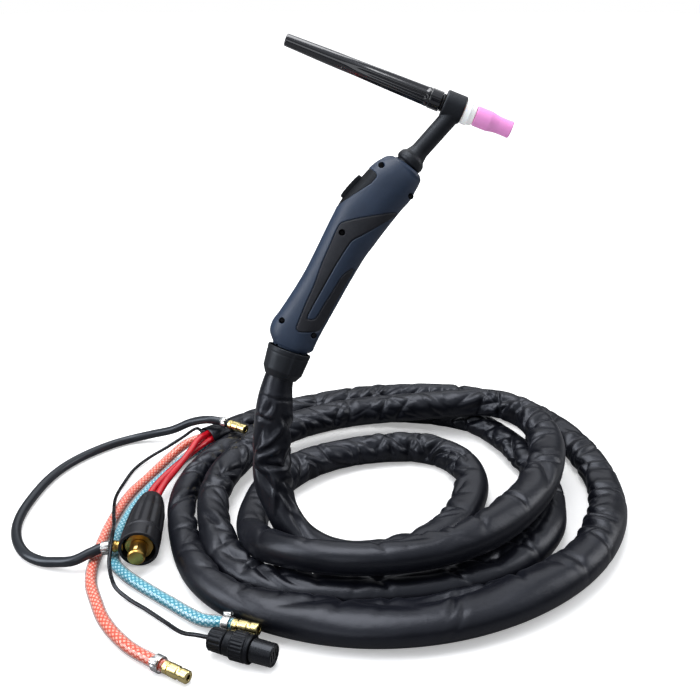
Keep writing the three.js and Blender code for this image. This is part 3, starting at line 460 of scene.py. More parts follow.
def plain(name, base, drift, roughness, grain, edge=None, streak=None, **values):
    """A moulded or machined finish. drift is the share by which the colour wanders, grain is
    (size, depth) and streak (size, UV stretch, depth)."""
    m = Mat(name, **values)
    colour = m.ramp(m.noise(26, detail=4, roughness=0.6),
                    (0.35, tuple(c * (1 - drift) for c in base)),
                    (0.65, tuple(c * (1 + drift) for c in base)))
    if edge:
        colour = m.edges(colour, edge)
    m.set(Base_Color=colour)
    m.rough(m.noise(5, detail=5, roughness=0.65), *roughness)
    if streak:
        size, stretch, depth = streak
        m.bump(m.noise(size, detail=2, kind="UV", stretch=stretch), depth)
    if grain:
        m.bump(m.noise(grain[0], detail=2), grain[1])
    return m


def grip_material():
    m = Mat("soft_grip_charcoal", Specular_Tint=(0.84, 0.90, 1.0))
    colour = m.ramp(m.noise(14, detail=4),
                    (0.3, (0.0085, 0.0085, 0.0115)), (0.7, (0.014, 0.0138, 0.0175)))
    m.set(Base_Color=m.edges(colour, (0.05, 0.05, 0.057)))
    m.rough(m.noise(3, detail=4), 0.62, 0.82)
    cells = m.node("TexVoronoi", {"Scale": 1000.0 / 0.9, "Vector": m.coords()})["Distance"]
    m.bump(cells, 0.10, strength=0.8)
    return m


def cloth_material():
    m = Mat("cloth_sheath_black", Specular_IOR_Level=0.44, Specular_Tint=(0.84, 0.88, 1.0),
            Sheen_Weight=0.025, Sheen_Roughness=0.4, Sheen_Tint=(0.6, 0.66, 0.85))
    colour = m.ramp(m.noise(70, roughness=0.6),
                    (0.3, (0.0016, 0.0018, 0.0036)), (0.72, (0.0040, 0.0046, 0.0080)))
    dust = m.ramp(m.noise(3.2, detail=6, roughness=0.75), (0.60, (0, 0, 0)), (0.78, (1, 1, 1)))
    m.set(Base_Color=m.mix(m.calc("MULTIPLY", dust, 0.03), colour, (0.08, 0.085, 0.10)))
    m.rough(m.noise(18, detail=5, roughness=0.6), 0.27, 0.41)
    m.bump(m.noise(7.5, detail=4, roughness=0.55, distortion=0.6), 0.35, strength=0.7)
    weave = m.calc("MAXIMUM", m.wave(0.62, "X"), m.wave(0.62, "Y"))
    m.bump(weave, 0.04, strength=0.45)
    return m


def braid_material(name, strand, gap, core):
    """Two crossing sets of yarns over a pale liner, for the tube inside a clear wall."""
    m = Mat(name, Roughness=0.35, Subsurface_Weight=0.12,
            Subsurface_Radius=(0.004, 0.003, 0.003))
    uv = m.node("SeparateXYZ", {0: m.node("UVMap")["UV"]})
    per_mm = 0.186                      # yarns per mm along the hose
    per_mm_round = 7.0 / (TAU * 4.4)    # 7 yarns round the tube
    bands = []
    for sign in (1.0, -1.0):
        phase = m.calc("ADD", m.calc("MULTIPLY", uv[0], per_mm),
                       m.calc("MULTIPLY", uv[1], sign * per_mm_round))
        saw = m.calc("MULTIPLY", m.calc("FRACT", phase), 2.0)
        peak = m.calc("ABSOLUTE", m.calc("SUBTRACT", saw, 1.0))
        band = m.calc("MULTIPLY", m.calc("SUBTRACT", peak, 0.40), 4.0, clamp=True)
        bands.append(m.calc("MINIMUM", band, 1.0))
    yarn = m.calc("MAXIMUM", *bands)
    crossing = m.calc("MULTIPLY", *bands)
    ground = m.ramp(m.noise(18, roughness=0.6), (0.35, gap), (0.7, core))
    m.set(Base_Color=m.mix(m.calc("MULTIPLY", crossing, 0.8), m.mix(yarn, ground, strand),
                           tuple(c * 0.72 for c in strand)))
    m.bump(yarn, 0.12, strength=0.6)
    return m


def clear_wall_material():
    """Thin clear plastic: see-through head on, shining at glancing angles."""
    m = Mat("clear_hose_wall")
    ripple = m.node("Bump", {"Distance": 0.12 * MM, "Height": m.noise(6.0)})[0]
    clear = m.node("BsdfTransparent", {"Color": (0.985, 0.975, 0.97)})[0]
    gloss = m.node("BsdfGlossy", {"Roughness": 0.07, "Normal": ripple})[0]
    haze = m.node("BsdfDiffuse", {"Color": (0.92, 0.90, 0.90)})[0]
    angle = m.node("LayerWeight", {"Blend": 0.32})
    shine = m.calc("ADD", m.calc("MULTIPLY", angle["Fresnel"], 0.55), 0.03)
    rim = m.calc("MULTIPLY", m.calc("POWER", angle["Facing"], 2.2), 0.55)
    m.output(m.mix_shader(rim, m.mix_shader(shine, clear, gloss), haze))
    return m


COOL = (0.80, 0.88, 1.0)        # specular tints of the black parts
COOL_PLASTIC = (0.82, 0.88, 1.0)
TURNED = (1.0, 0.01, 1.0)       # UV stretches of streaks
# key: name, base colour, drift, roughness range, grain (size, depth), then extras
FINISHES = {
    "handle": ("moulded_slate_blue", (0.0150, 0.0290, 0.0600), 0.10, (0.42, 0.55),
               (0.42, 0.045), dict(edge=(0.09, 0.125, 0.18))),
    "body": ("overmoulded_rubber_black", (0.0062, 0.0066, 0.0085), 0.18, (0.40, 0.56),
             (0.5, 0.03),
             dict(edge=(0.04, 0.041, 0.048), Specular_IOR_Level=0.45, Specular_Tint=COOL)),
    "tray": ("switch_inset_black", (0.0016, 0.0018, 0.0028), 0.15, (0.42, 0.56), (0.5, 0.02),
             dict(edge=(0.03, 0.032, 0.04), Specular_IOR_Level=0.22, Specular_Tint=COOL)),
    # the very dark metal is painted shade for the screw heads, which also sit in deep pockets that
    # shade them
    "screw": ("blackened_screw", (0.02, 0.02, 0.022), 0.15, (0.3, 0.45), (0.4, 0.01),
              dict(edge=(0.10, 0.10, 0.11), Metallic=1.0)),
    "cap": ("gloss_phenolic_black", (0.0022, 0.0023, 0.0044), 0.2, (0.16, 0.24), None,
            dict(Specular_IOR_Level=0.25, Specular_Tint=(0.80, 0.85, 1.0), Coat_Weight=1.0,
                 Coat_Roughness=0.07, Coat_IOR=1.62)),
    # the emission is a painted glow: it stands in for bright light and lifts the gasket to white
    "ptfe": ("ptfe_white", (0.93, 0.93, 0.92), 0.03, (0.36, 0.5), (0.8, 0.02),
             dict(Subsurface_Weight=0.15, Emission_Color=(1.0, 1.0, 1.0),
                  Emission_Strength=0.26)),
    # the pink emission is a painted glow that stands in for the light on the cup
    "pink": ("pink_alumina", (0.82, 0.29, 0.66), 0.05, (0.26, 0.38), (0.3, 0.02),
             dict(edge=(0.92, 0.52, 0.82), Subsurface_Weight=0.2,
                  Subsurface_Radius=(0.003, 0.0015, 0.0025),
                  Emission_Color=(0.95, 0.42, 0.80), Emission_Strength=0.16)),
    "brass": ("turned_brass", (0.53, 0.335, 0.095), 0.10, (0.22, 0.38), (0.6, 0.012),
              dict(edge=(0.80, 0.60, 0.27), streak=(0.35, TURNED, 0.02), Metallic=1.0)),
    "pale": ("bright_pale_brass", (0.80, 0.66, 0.30), 0.06, (0.14, 0.26), (0.6, 0.008),
             dict(edge=(0.95, 0.86, 0.58), streak=(0.30, TURNED, 0.012), Metallic=1.0)),
    "copper": ("drawn_copper", (0.62, 0.27, 0.13), 0.12, (0.25, 0.42), (0.6, 0.01),
               dict(Metallic=1.0)),
    "tungsten": ("ground_tungsten", (0.30, 0.30, 0.31), 0.08, (0.25, 0.4), (0.3, 0.01),
                 dict(Metallic=1.0)),
    "steel": ("stainless_band", (0.60, 0.605, 0.61), 0.06, (0.18, 0.34), (0.5, 0.01),
              dict(edge=(0.85, 0.85, 0.86), streak=(0.3, (0.05, 1.0, 1.0), 0.01),
                   Metallic=1.0)),
    "red_tube": ("red_gloss_tube", (0.50, 0.006, 0.016), 0.10, (0.10, 0.2), (2.0, 0.02),
                 dict(Coat_Weight=0.5, Coat_Roughness=0.08)),
    "plastic": ("moulded_black", (0.0024, 0.0026, 0.0036), 0.15, (0.30, 0.44), (0.45, 0.03),
                dict(edge=(0.035, 0.036, 0.042), Specular_IOR_Level=0.22,
                     Specular_Tint=COOL_PLASTIC)),
    "gloss_black": ("smooth_black_plastic", (0.0035, 0.0036, 0.0046), 0.15, (0.2, 0.34),
                    (0.6, 0.015), dict(edge=(0.05, 0.05, 0.055), Specular_IOR_Level=0.38,
                                       Specular_Tint=COOL_PLASTIC)),
    "sleeve": ("sleeve_rubber_black", (0.0060, 0.0062, 0.0078), 0.2, (0.36, 0.50),
               (0.55, 0.035), dict(edge=(0.055, 0.056, 0.06), Specular_Tint=(0.88, 0.90, 1.0))),
    "hose": ("hose_black", (0.0120, 0.0134, 0.0165), 0.15, (0.26, 0.38), (0.6, 0.02),
             dict(streak=(0.8, (0.01, 1.0, 1.0), 0.02), Specular_IOR_Level=0.55,
                  Specular_Tint=COOL)),
}
MATERIALS = {key: plain(*row, **extras) for key, (*row, extras) in FINISHES.items()}
MATERIALS.update({
    "grip": grip_material(),
    "cloth": cloth_material(),
    "braid_red": braid_material("braid_red", strand=(0.80, 0.10, 0.045),
                                gap=(0.92, 0.62, 0.52), core=(0.88, 0.40, 0.30)),
    "braid_blue": braid_material("braid_blue", strand=(0.03, 0.34, 0.48),
                                 gap=(0.62, 0.85, 0.91), core=(0.32, 0.68, 0.78)),
    "clear": clear_wall_material(),
})

# ---------------------------------------------------------------- cloth sheath
# centre line from the collar to the open tail: x, y, z, half width, half height
SHEATH = np.array([
    (-100.1, -34.8, 165.0, 12.0, 12.0), (-105.0, -39.0, 151.4, 12.1, 12.1),
    (-109.2, -44.2, 133.0, 13.6, 13.6), (-112.6, -54.6, 97.5, 14.6, 14.6),
    (-113.0, -61.3, 71.4, 15.1, 15.1), (-106.1, -74.5, 45.8, 14.2, 14.2),
    (-91.2, -88.7, 25.3, 14.2, 13.6), (-67.2, -102.4, 15.4, 14.5, 12.8),
    (-35.5, -109.6, 14.1, 15.5, 13.1), (0.7, -102.2, 14.3, 15.5, 13.0),
    (33.7, -80.0, 14.5, 15.5, 13.0), (60.4, -41.8, 14.1, 15.5, 13.0),
    (76.4, 3.2, 13.9, 15.4, 13.0), (75.8, 38.7, 14.1, 15.0, 13.0),
    (60.5, 66.0, 14.2, 14.2, 13.0), (34.0, 82.3, 14.1, 14.0, 13.0),
    (-3.6, 84.2, 13.8, 14.0, 12.8), (-49.8, 72.3, 14.2, 14.1, 13.0),
    (-88.8, 47.6, 14.9, 15.0, 13.6), (-115.9, 12.7, 15.0, 15.5, 14.2),
    (-130.2, -30.3, 15.5, 15.5, 14.8), (-130.6, -73.5, 19.8, 14.1, 13.7),
    (-118.7, -107.1, 29.0, 14.5, 14.0), (-93.5, -132.8, 39.1, 14.2, 13.6),
    (-58.1, -147.7, 44.3, 15.0, 14.0), (-13.5, -149.7, 45.9, 15.4, 14.0),
    (34.1, -136.9, 45.7, 16.2, 14.1), (77.4, -109.3, 46.1, 17.3, 14.8),
    (114.4, -66.8, 46.9, 17.5, 15.0), (142.1, -11.8, 46.8, 17.4, 15.0),
    (154.4, 42.1, 45.4, 16.9, 15.0), (151.3, 86.4, 44.1, 16.4, 15.0),
    (136.1, 117.4, 43.1, 15.9, 15.0), (109.6, 136.0, 42.2, 14.9, 14.4),
    (65.0, 142.1, 37.3, 15.5, 15.2), (3.1, 142.8, 31.9, 15.5, 15.4),
    (-54.0, 131.3, 30.3, 15.5, 15.4), (-103.7, 106.0, 28.7, 15.5, 15.3),
    (-143.0, 70.3, 24.3, 15.0, 14.9), (-166.2, 30.6, 20.5, 14.3, 13.8),
    (-174.3, -14.2, 18.7, 13.8, 13.3), (-166.6, -66.3, 16.4, 13.9, 13.2),
    (-149.0, -111.2, 13.7, 13.5, 12.2), (-123.1, -136.5, 13.5, 14.0, 12.2),
    (-83.0, -150.9, 13.5, 15.0, 13.0), (-24.8, -154.2, 13.9, 15.0, 13.0),
    (34.4, -144.8, 13.9, 15.4, 13.0), (80.5, -123.5, 13.9, 15.5, 13.0),
    (116.4, -89.9, 13.9, 15.5, 13.0), (140.3, -47.5, 13.9, 15.5, 13.0),
    (149.3, -0.6, 13.9, 15.3, 13.0), (142.5, 53.7, 13.9, 15.0, 13.0),
    (121.4, 110.2, 13.6, 14.3, 12.4), (96.1, 145.6, 13.2, 14.3, 12.1),
    (61.8, 164.9, 13.0, 14.7, 12.5), (11.7, 173.1, 13.1, 14.5, 12.5),
    (-44.9, 168.0, 13.3, 14.5, 12.5), (-98.0, 147.3, 13.3, 14.5, 12.5),
    (-147.6, 112.1, 13.3, 14.5, 12.5), (-182.1, 70.6, 13.2, 13.9, 12.5),
    (-201.0, 25.2, 13.1, 12.6, 12.4), (-204.2, -23.2, 13.0, 12.4, 12.4),
    (-191.2, -81.5, 13.1, 12.6, 12.6), (-170.1, -130.6, 13.1, 12.5, 12.6),
    (-140.5, -161.4, 13.6, 13.7, 12.9), (-96.0, -182.7, 14.6, 17.1, 13.6),
    (-38.7, -193.1, 15.3, 21.4, 14.4), (21.4, -188.7, 15.6, 22.4, 14.5),
    (79.4, -169.1, 15.6, 21.7, 14.5), (131.3, -135.9, 15.4, 20.2, 14.4),
    (171.0, -93.2, 15.1, 18.7, 14.1), (196.0, -45.1, 14.7, 17.7, 13.8),
    (206.2, 9.6, 14.2, 17.0, 13.5), (202.5, 71.4, 14.0, 16.4, 13.5),
    (186.7, 125.5, 14.0, 15.8, 13.5), (160.3, 164.7, 14.1, 15.3, 13.5),
    (121.3, 193.9, 14.1, 15.0, 13.4), (72.3, 211.5, 14.0, 15.0, 13.3),
    (16.8, 214.7, 14.0, 15.0, 13.3), (-43.7, 202.8, 14.1, 14.9, 13.2),
    (-101.4, 180.0, 14.1, 14.5, 13.1), (-153.7, 146.5, 14.1, 14.1, 13.0),
    (-198.4, 103.5, 14.0, 14.0, 13.0),
])
# sets of folds that run the same way: start and end along the sheath, angles round it, count,
# slant in degrees, then ranges of half length, width and depth
FOLD_ZONES = [
    (400, 560, 1.3, 3.6, 10, 58, (14, 30), (2.6, 4.6), (1.4, 3.6)),
    (520, 700, 1.2, 3.7, 12, -52, (16, 36), (2.4, 4.4), (1.2, 3.2)),
    (1080, 1230, 1.2, 3.7, 9, -60, (16, 38), (3.0, 5.2), (1.8, 4.6)),
    (1200, 1330, 1.0, 3.6, 6, 48, (20, 40), (3.4, 5.4), (1.5, 3.6)),
    (1350, 1640, 1.0, 3.5, 22, -38, (24, 54), (2.6, 4.4), (0.8, 2.0)),
    (1620, 1830, 1.0, 3.5, 12, 44, (16, 36), (2.6, 4.6), (1.4, 3.6)),
    (1800, 2080, 1.2, 2.9, 14, -36, (14, 32), (2.4, 4.2), (1.2, 3.0)),
    (2130, 2380, 1.0, 3.7, 14, 52, (16, 36), (2.6, 4.6), (1.6, 4.2)),
    (2560, 2760, 1.0, 3.4, 11, -42, (16, 38), (2.6, 4.6), (1.2, 3.2)),
    (2720, 2930, 1.1, 3.2, 9, 50, (14, 32), (2.6, 4.6), (1.2, 3.2)),
    (3200, 3380, 0.9, 3.5, 12, 74, (18, 38), (3.2, 5.6), (1.8, 4.6)),
    (3360, 3520, 0.9, 3.6, 10, -58, (16, 38), (3.0, 5.0), (1.4, 3.8)),
    (3490, 3780, 1.0, 3.4, 22, 40, (16, 40), (2.2, 3.8), (0.9, 2.4)),
    (3840, 3916, 0.0, TAU, 10, 35, (12, 26), (2.2, 3.6), (0.8, 1.8)),
]
# single folds in set places: distance along, angle round, slant in degrees from the sheath's
# axis, half length, width, depth (negative for one that adds to others), bow, lip height
SET_FOLDS = [
    (67, 1.85, -45, 21, 2.6, -2.3, 0.014, 0.5), (78, 1.80, -62, 17, 2.4, -1.9, -0.02, 0.5),
    (113, 1.28, -14, 27, 2.6, -2.0, 0.020, 0.5), (127, 1.40, 6, 30, 2.6, -1.8, -0.016, 0.5),
    (90, 1.80, 84, 13, 2.8, 3.0, 0.02, 0.7), (49, 1.40, 74, 9, 2.2, 2.2, 0.0, 0.8),
    (31, 2.25, 86, 20, 1.8, 1.2, 0.0, 0.7), (40, 1.75, -30, 13, 2.4, 1.8, 0.03, 0.6),
    (104, 0.95, 24, 22, 3.4, 2.4, 0.0, 0.6), (72, 0.9, -24, 26, 3.6, 2.6, 0.0, 0.6),
    (150, 1.5, -10, 32, 4.0, 2.8, 0.012, 0.6), (56, 3.3, 48, 18, 3.4, 3.2, 0.0, 0.6),
    (84, 3.0, -50, 18, 3.4, 3.4, 0.0, 0.6), (116, 2.7, 56, 18, 3.2, 3.2, 0.0, 0.6),
    (70, -1.2, -30, 36, 4.6, 3.4, 0.0, 0.7), (100, -1.9, 40, 34, 4.6, 3.4, 0.0, 0.7),
    (3092, 2.15, 8, 46, 3.4, 4.2, 0.004, 0.7), (3086, 1.75, 52, 22, 3.0, 3.2, 0.01, 0.7),
    (3030, 1.9, -14, 34, 5.4, 2.6, 0.0, 0.6), (2965, 1.7, 20, 38, 5.8, 2.8, 0.0, 0.6),
    (1290, 2.6, 24, 48, 6.0, 5.0, 0.01, 0.6), (1256, 1.8, -36, 32, 5.2, 3.0, 0.0, 0.6),
    (1205, 2.7, 58, 32, 5.4, 4.4, 0.01, 0.6), (2240, 2.6, -30, 36, 5.0, 5.2, 0.01, 0.7),
    (3395, 2.6, 70, 34, 4.6, 5.4, 0.012, 0.6), (3340, 2.5, 80, 34, 4.8, 5.4, 0.012, 0.6),
    (3290, 2.7, 66, 30, 4.8, 5.2, 0.012, 0.6), (640, 2.4, 60, 28, 4.4, 4.6, 0.012, 0.6),
    (520, 2.0, -48, 34, 4.6, 4.6, 0.012, 0.6), (475, 2.5, 66, 26, 4.2, 4.4, 0.012, 0.6),
    (840, 2.1, 12, 36, 5.4, 2.4, 0.0, 0.6), (930, 2.0, -18, 34, 5.2, 2.6, 0.0, 0.6),
]
# dents near the collar: distance along, angle round, length, width, height
SET_DENTS = [
    (59, 1.88, 9.5, 8.5, -3.0), (88, 1.62, 5.5, 8.5, -2.2), (101, 1.12, 8, 5.5, -2.4),
    (44, 2.6, 9, 6, -1.6), (16, 2.3, 8, 9, -0.8), (76, 2.5, 9, 6, -2.0), (120, 2.2, 14, 6, -1.6),
]


def lattice_noise(along, angle, spacing, count, seed):
    """Smooth noise in -1..1, a value each spacing mm along and count values round."""
    rng = np.random.default_rng(seed)
    rows = int(np.max(along) / spacing) + 4
    grid = rng.uniform(-1, 1, (rows, count))
    x = along / spacing
    y = (angle % TAU) / TAU * count
    i, j = np.floor(x).astype(int), np.floor(y).astype(int)
    fx, fy = ease(x - i), ease(y - j)
    i = np.clip(i, 0, rows - 2)
    j0, j1 = j % count, (j + 1) % count
    return (grid[i, j0] * (1 - fx) * (1 - fy) + grid[i + 1, j0] * fx * (1 - fy)
            + grid[i, j1] * (1 - fx) * fy + grid[i + 1, j1] * fx * fy)


def span(along, start, end):
    """1 between start and end along the sheath, easing off over 40 mm at both."""
    return ease((along - start) / 40.0 + 0.5) * ease((end - along) / 40.0 + 0.5)


def bending(along, tangent, step):
    """How tight the bend is, 0 to 1, and the tangent's turning vector."""
    turn = np.gradient(tangent, axis=0) / np.gradient(along)[:, None]
    kernel = np.hanning((int(36 / step) | 1) + 2)[1:-1]
    turn = np.stack([smoothed(turn[:, k], kernel) for k in range(3)], 1)
    return np.clip(np.linalg.norm(turn, axis=1) * 14.5, 0, 0.2) / 0.2, turn


def sheath_folds(rng, along, inner, tightness):
    """All folds as rows like SET_FOLDS, but with the slant in radians."""
    folds = []
    end = along[-1]
    nearest = lambda at: int(np.clip(np.searchsorted(along, at), 0, len(along) - 1))
    # gathers on the inside of each bend, running out over the top
    at = 250.0
    while at < end - 6:
        k = nearest(at)
        tight = float(tightness[k])
        if tight > 0.10:
            lean = rng.normal(0, 0.5)
            folds.append((at, inner[k] + rng.normal(-0.2, 0.4), math.pi / 2 + lean,
                          rng.uniform(16, 44), rng.uniform(2.9, 5.8),
                          (0.35 + 0.65 * tight) * rng.uniform(1.4, 6.4),
                          rng.normal(0, 0.026), rng.uniform(0.25, 0.6)))
        sparse = 1 + 0.9 * float(span(at, 1190, 1380)) + 0.7 * float(span(at, 1700, 1960))
        at += rng.uniform(11, 31) * (1.35 - 0.35 * tight) * sparse
    # slanting drag folds scattered over the whole length
    for _ in range(84):
        at = rng.uniform(180, end)
        around = inner[nearest(at)] + rng.normal(-0.3, 1.0)
        slant = rng.choice([-1, 1]) * rng.uniform(math.radians(16), math.radians(66))
        folds.append((at, around, slant, rng.uniform(16, 40), rng.uniform(2.6, 5.0),
                      rng.uniform(0.6, 2.3), rng.normal(0, 0.016), rng.uniform(0.3, 0.8)))
    for start, stop, low, high, count, degrees, *ranges in FOLD_ZONES:
        for _ in range(count):
            if rng.random() < 0.82:
                slant = math.radians(degrees + rng.normal(0, 9))
            else:
                slant = rng.uniform(-1.5, 1.5)
            folds.append((rng.uniform(start, stop), rng.uniform(low, high), slant,
                          *[rng.uniform(*r) for r in ranges],
                          rng.normal(0, 0.016), rng.uniform(0.3, 0.8)))
    return folds + [(at, around, math.radians(degrees), *rest)
                    for at, around, degrees, *rest in SET_FOLDS]


def press_folds(relief, folds, along, angle, radius):
    """Where folds cross, the deeper one wins softly instead of both adding up."""
    pit = np.zeros_like(relief)
    for at, around, slant, half, width, depth, bow, lip in folds:
        reach = 4 * width
        lo, hi = np.searchsorted(along, [at - half - reach, at + half + reach])
        if hi - lo < 3:
            continue
        ds = along[lo:hi, None] - at
        dq = wrapped(angle - around) * radius[lo:hi, None]
        cos, sin = math.cos(slant), math.sin(slant)
        x, y = ds * cos + dq * sin, -ds * sin + dq * cos
        y = y + bow * x * x / 2
        run = np.clip(1 - (x / half) ** 2, 0, 1) ** 1.4 * np.exp(-(dq / 44) ** 8)
        valley = np.exp(-(np.abs(y) / (0.8 * width)) ** 1.25)
        lips = (np.exp(-((y - 1.75 * width) / (1.05 * width)) ** 2)
                + 0.45 * np.exp(-((y + 1.8 * width) / (1.2 * width)) ** 2))
        if depth > 0:
            relief[lo:hi] += depth * run * lip * 0.62 * lips
            pit[lo:hi] += (depth * run * valley) ** 2.4
        else:
            relief[lo:hi] += depth * run * (lip * 0.8 * lips - valley)
    relief -= 1.04 * pit ** (1 / 2.4)


def dent(along, angle, at, around, length, width, height, radius):
    dq = wrapped(angle - around) * radius
    return height * np.exp(-((along - at) / length) ** 2 - (dq / width) ** 2)


def sheath_relief(along, phi, inner, tightness, radius):
    """Height of the cloth over its smooth section."""
    s, angle, end = along[:, None], phi[None, :], along[-1]
    inner_col = inner[:, None]
    # the bundle inside shows as long soft ridges, and the cloth swells and sags
    relief = (0.5 * np.cos(3 * (angle - inner_col) + 1.7 * lattice_noise(s, 0.0, 190, 3, seed=3))
              * (0.5 + 0.5 * lattice_noise(s, angle, 150, 4, seed=4)))
    for height, spacing, count, seed in ((1.3, 84, 4, 5), (0.5, 38, 5, 6), (0.12, 19, 7, 7)):
        relief += height * lattice_noise(s, angle, spacing, count, seed)

    rng = np.random.default_rng(41)
    press_folds(relief, sheath_folds(rng, along, inner, tightness), along, angle, radius)
    # wide dents and cushions between the folds
    for _ in range(130):
        at = rng.uniform(170, end)
        around, size = rng.uniform(0.4, 3.9), rng.uniform(11, 22)
        height, stretch = rng.uniform(-2.6, 1.3), rng.uniform(1.2, 2.6)
        reach = 3 * size * stretch
        lo, hi = np.searchsorted(along, [at - reach, at + reach])
        if hi - lo >= 3:
            relief[lo:hi] += dent(s[lo:hi], angle, at, around, size * stretch, size, height, 24)
    for row in SET_DENTS:
        relief += dent(s, angle, *row, 20)

    # pulled smooth on the outside of the coil and where it lies on the floor
    side = np.clip((1 - np.cos(angle)) / 2, 0, 1)   # 1 towards the middle of the coil
    lying = ease((along - 150) / 60)[:, None]
    calm = 1 - 0.85 * ease((-np.sin(angle) - 0.25) / 0.5) * lying
    calm = calm * (1 - 0.62 * ease((0.42 - side) / 0.38) * lying)
    front = np.clip(span(along, 760, 1010) + span(along, 2900, 3190), 0, 1)[:, None]
    calm *= 1 - 0.42 * front * ease((0.75 - side) / 0.3)
    tail = ease((end - s) / 16) * 0.75 + 0.25
    start = ease((s - 2) / 18) * 0.75 + 0.25
    relief = relief * calm * tail * start
    relief = np.where(relief > 0, 2.9 * np.tanh(relief / 2.9), -6.4 * np.tanh(-relief / 6.4))
    # neighbouring turns sag against each other
    relief += side * (2.2 * span(s, 2600, 2990) + 1.6 * span(s, 1600, 1780)
                      + 1.8 * span(s, 1990, 2160))
    relief += 2.3 * span(s, 28, 122)
    relief += 2.4 * span(s, 1740, 2120) * np.abs(np.cos(angle)) ** 0.7
    return relief


def sheath_surface():
    """Distances along the sheath, and its tangents, rings of points and outward normals."""
    step = 1.25
    sides = 104
    along, rows = by_length(catmull(SHEATH, 30), step)
    centre = rows[:, :3]
    wider = 1 + 0.13 * span(along, 430, 700) + 0.05 * span(along, 215, 420)
    half_width, half_height = (smoothed(rows[:, k], np.hanning(25)) * wider for k in (3, 4))
    tangent, level, up = path_axes(centre)
    tightness, turn = bending(along, tangent, step)
    inner = np.arctan2(np.sum(turn * up, 1), np.sum(turn * level, 1))
    phi = np.arange(sides) / sides * TAU
    relief = sheath_relief(along, phi, inner, tightness, 0.5 * (half_width + half_height))

    cos, sin = squircle(phi, 2.15)
    half_width, half_height = half_width[:, None], half_height[:, None]
    level, up = level[:, None, :], up[:, None, :]
    rings = (centre[:, None, :] + (half_width * cos)[..., None] * level
             + (half_height * sin)[..., None] * up)
    nx, ny = cos / half_width, sin / half_height
    size = np.hypot(nx, ny)
    normals = (nx / size)[..., None] * level + (ny / size)[..., None] * up
    rings = rings + relief[..., None] * normals
    # the underside is pressed flat on the floor
    low = 0.35
    z = rings[..., 2]
    rings[..., 2] = np.where(z < low, low + 0.06 * (z - low), z)
    return along, tangent, rings, normals


def build_sheath():
    along, tangent, rings, normals = sheath_surface()
    gap = along[1] - along[0]
    # the cut end of the cloth is turned in and runs back a little way as the lining
    count = max(2, int(26 / gap))
    rim = [rings[-1] + ahead * tangent[-1] - inset * normals[-1]
           for ahead, inset in ((0.55, 0.30), (0.50, 0.95))]
    lining = [rings[-1 - k] - (1.25 + 0.012 * k) * normals[-1 - k] for k in range(count)]
    u = np.concatenate([along, along[-1] + np.array([0.7, 1.4]),
                        along[-1] + 2.2 + np.arange(count) * gap])
    sides = rings.shape[1]
    v = np.arange(sides + 1) / sides * TAU * 14.2
    ob = build("sheath_cloth", skin(np.concatenate([rings, rim, lining]), u, v))
    dress(ob, "cloth", "cable_set", "sheath")


build_sheath()

# ---------------------------------------------------------------- hoses from the open end
# x, y, z along each hose after it leaves the sheath
RETURN_TAIL = [
    (-220.0, 93.8, 13.5), (-236.5, 69.0, 8.0), (-249.8, 36.7, 5.6), (-260.2, 6.5, 5.6),
    (-265.0, -25.3, 5.6), (-267.0, -56.5, 5.6), (-266.5, -85.6, 5.6), (-265.5, -110.0, 5.6),
    (-260.5, -133.0, 5.6), (-250.5, -154.6, 5.6), (-238.8, -176.3, 5.6), (-224.6, -194.5, 5.6),
    (-208.0, -210.4, 5.8), (-190.3, -222.5, 6.3)]
FEED_TAIL = [
    (-217.5, 79.0, 6.4), (-230.4, 49.6, 5.7), (-242.0, 21.0, 5.7), (-249.3, -6.5, 5.7),
    (-253.5, -32.4, 5.7), (-254.8, -58.4, 5.7), (-253.5, -84.0, 5.7), (-247.0, -106.0, 5.7),
    (-234.5, -121.0, 5.7), (-218.8, -134.6, 5.7), (-203.7, -146.4, 5.7), (-188.4, -157.9, 5.7),
    (-173.5, -169.6, 6.0), (-159.5, -179.8, 7.6), (-143.8, -187.3, 11.6)]
CONTROL_TAIL = [
    (-212.6, 115.0, 21.0), (-227.0, 109.5, 13.2), (-241.5, 97.3, 8.0), (-257.6, 81.9, 4.0),
    (-269.2, 59.3, 2.7), (-273.4, 31.7, 2.7), (-271.5, -6.1, 9.5), (-264.2, -39.6, 15.6),
    (-256.9, -66.4, 18.5), (-251.8, -88.0, 24.8), (-248.1, -107.9, 26.0),
    (-246.1, -124.3, 18.5), (-239.7, -137.0, 7.0), (-226.8, -148.0, 3.2), (-208.6, -161.4, 2.7),
    (-190.3, -176.7, 3.2), (-173.4, -192.5, 6.0), (-161.0, -200.0, 10.2), (-151.5, -204.1, 11.6)]
POWER_TAIL = [
    (-205.0, 83.0, 15.0), (-216.0, 57.0, 15.6), (-226.8, 25.0, 17.4), (-234.4, -3.5, 17.9),
    (-235.8, -20.0, 17.9), (-234.9, -39, 17.9)]
GAS_TAIL = [
    (-206.0, 85.0, 22.6), (-210.5, 61.7, 21.8), (-217.2, 32.4, 21.2), (-225.2, 4.6, 18.8),
    (-228.0, -20.0, 17.9), (-226.9, -39, 17.9)]
SUPPLY_TAIL = [
    (-197.4, 110.9, 34), (-217.6, 117.7, 27.5), (-240.6, 121.2, 16), (-263.1, 123.6, 9.5),
    (-285.2, 121.1, 5.2), (-302.6, 110.5, 4.8), (-320.0, 93.8, 4.8), (-334.8, 74.4, 4.8),
    (-345.3, 53.8, 4.8), (-352.1, 30.1, 4.8), (-355.7, 2.1, 4.8), (-356.5, -26.0, 4.8),
    (-352.8, -50.7, 4.8), (-342.9, -74.2, 4.8), (-328.6, -92.0, 4.8), (-312.0, -101.7, 5.2),
    (-297.4, -105.9, 7.5), (-281.3, -109.2, 11.5), (-269.5, -105.1, 15.5),
    (-261.0, -101.0, 17.8)]
RETURN_END = np.array([-179.5, -228.8, 6.4])
RETURN_DIR = unit((0.865, -0.502, 0))
RETURN_R = 5.2
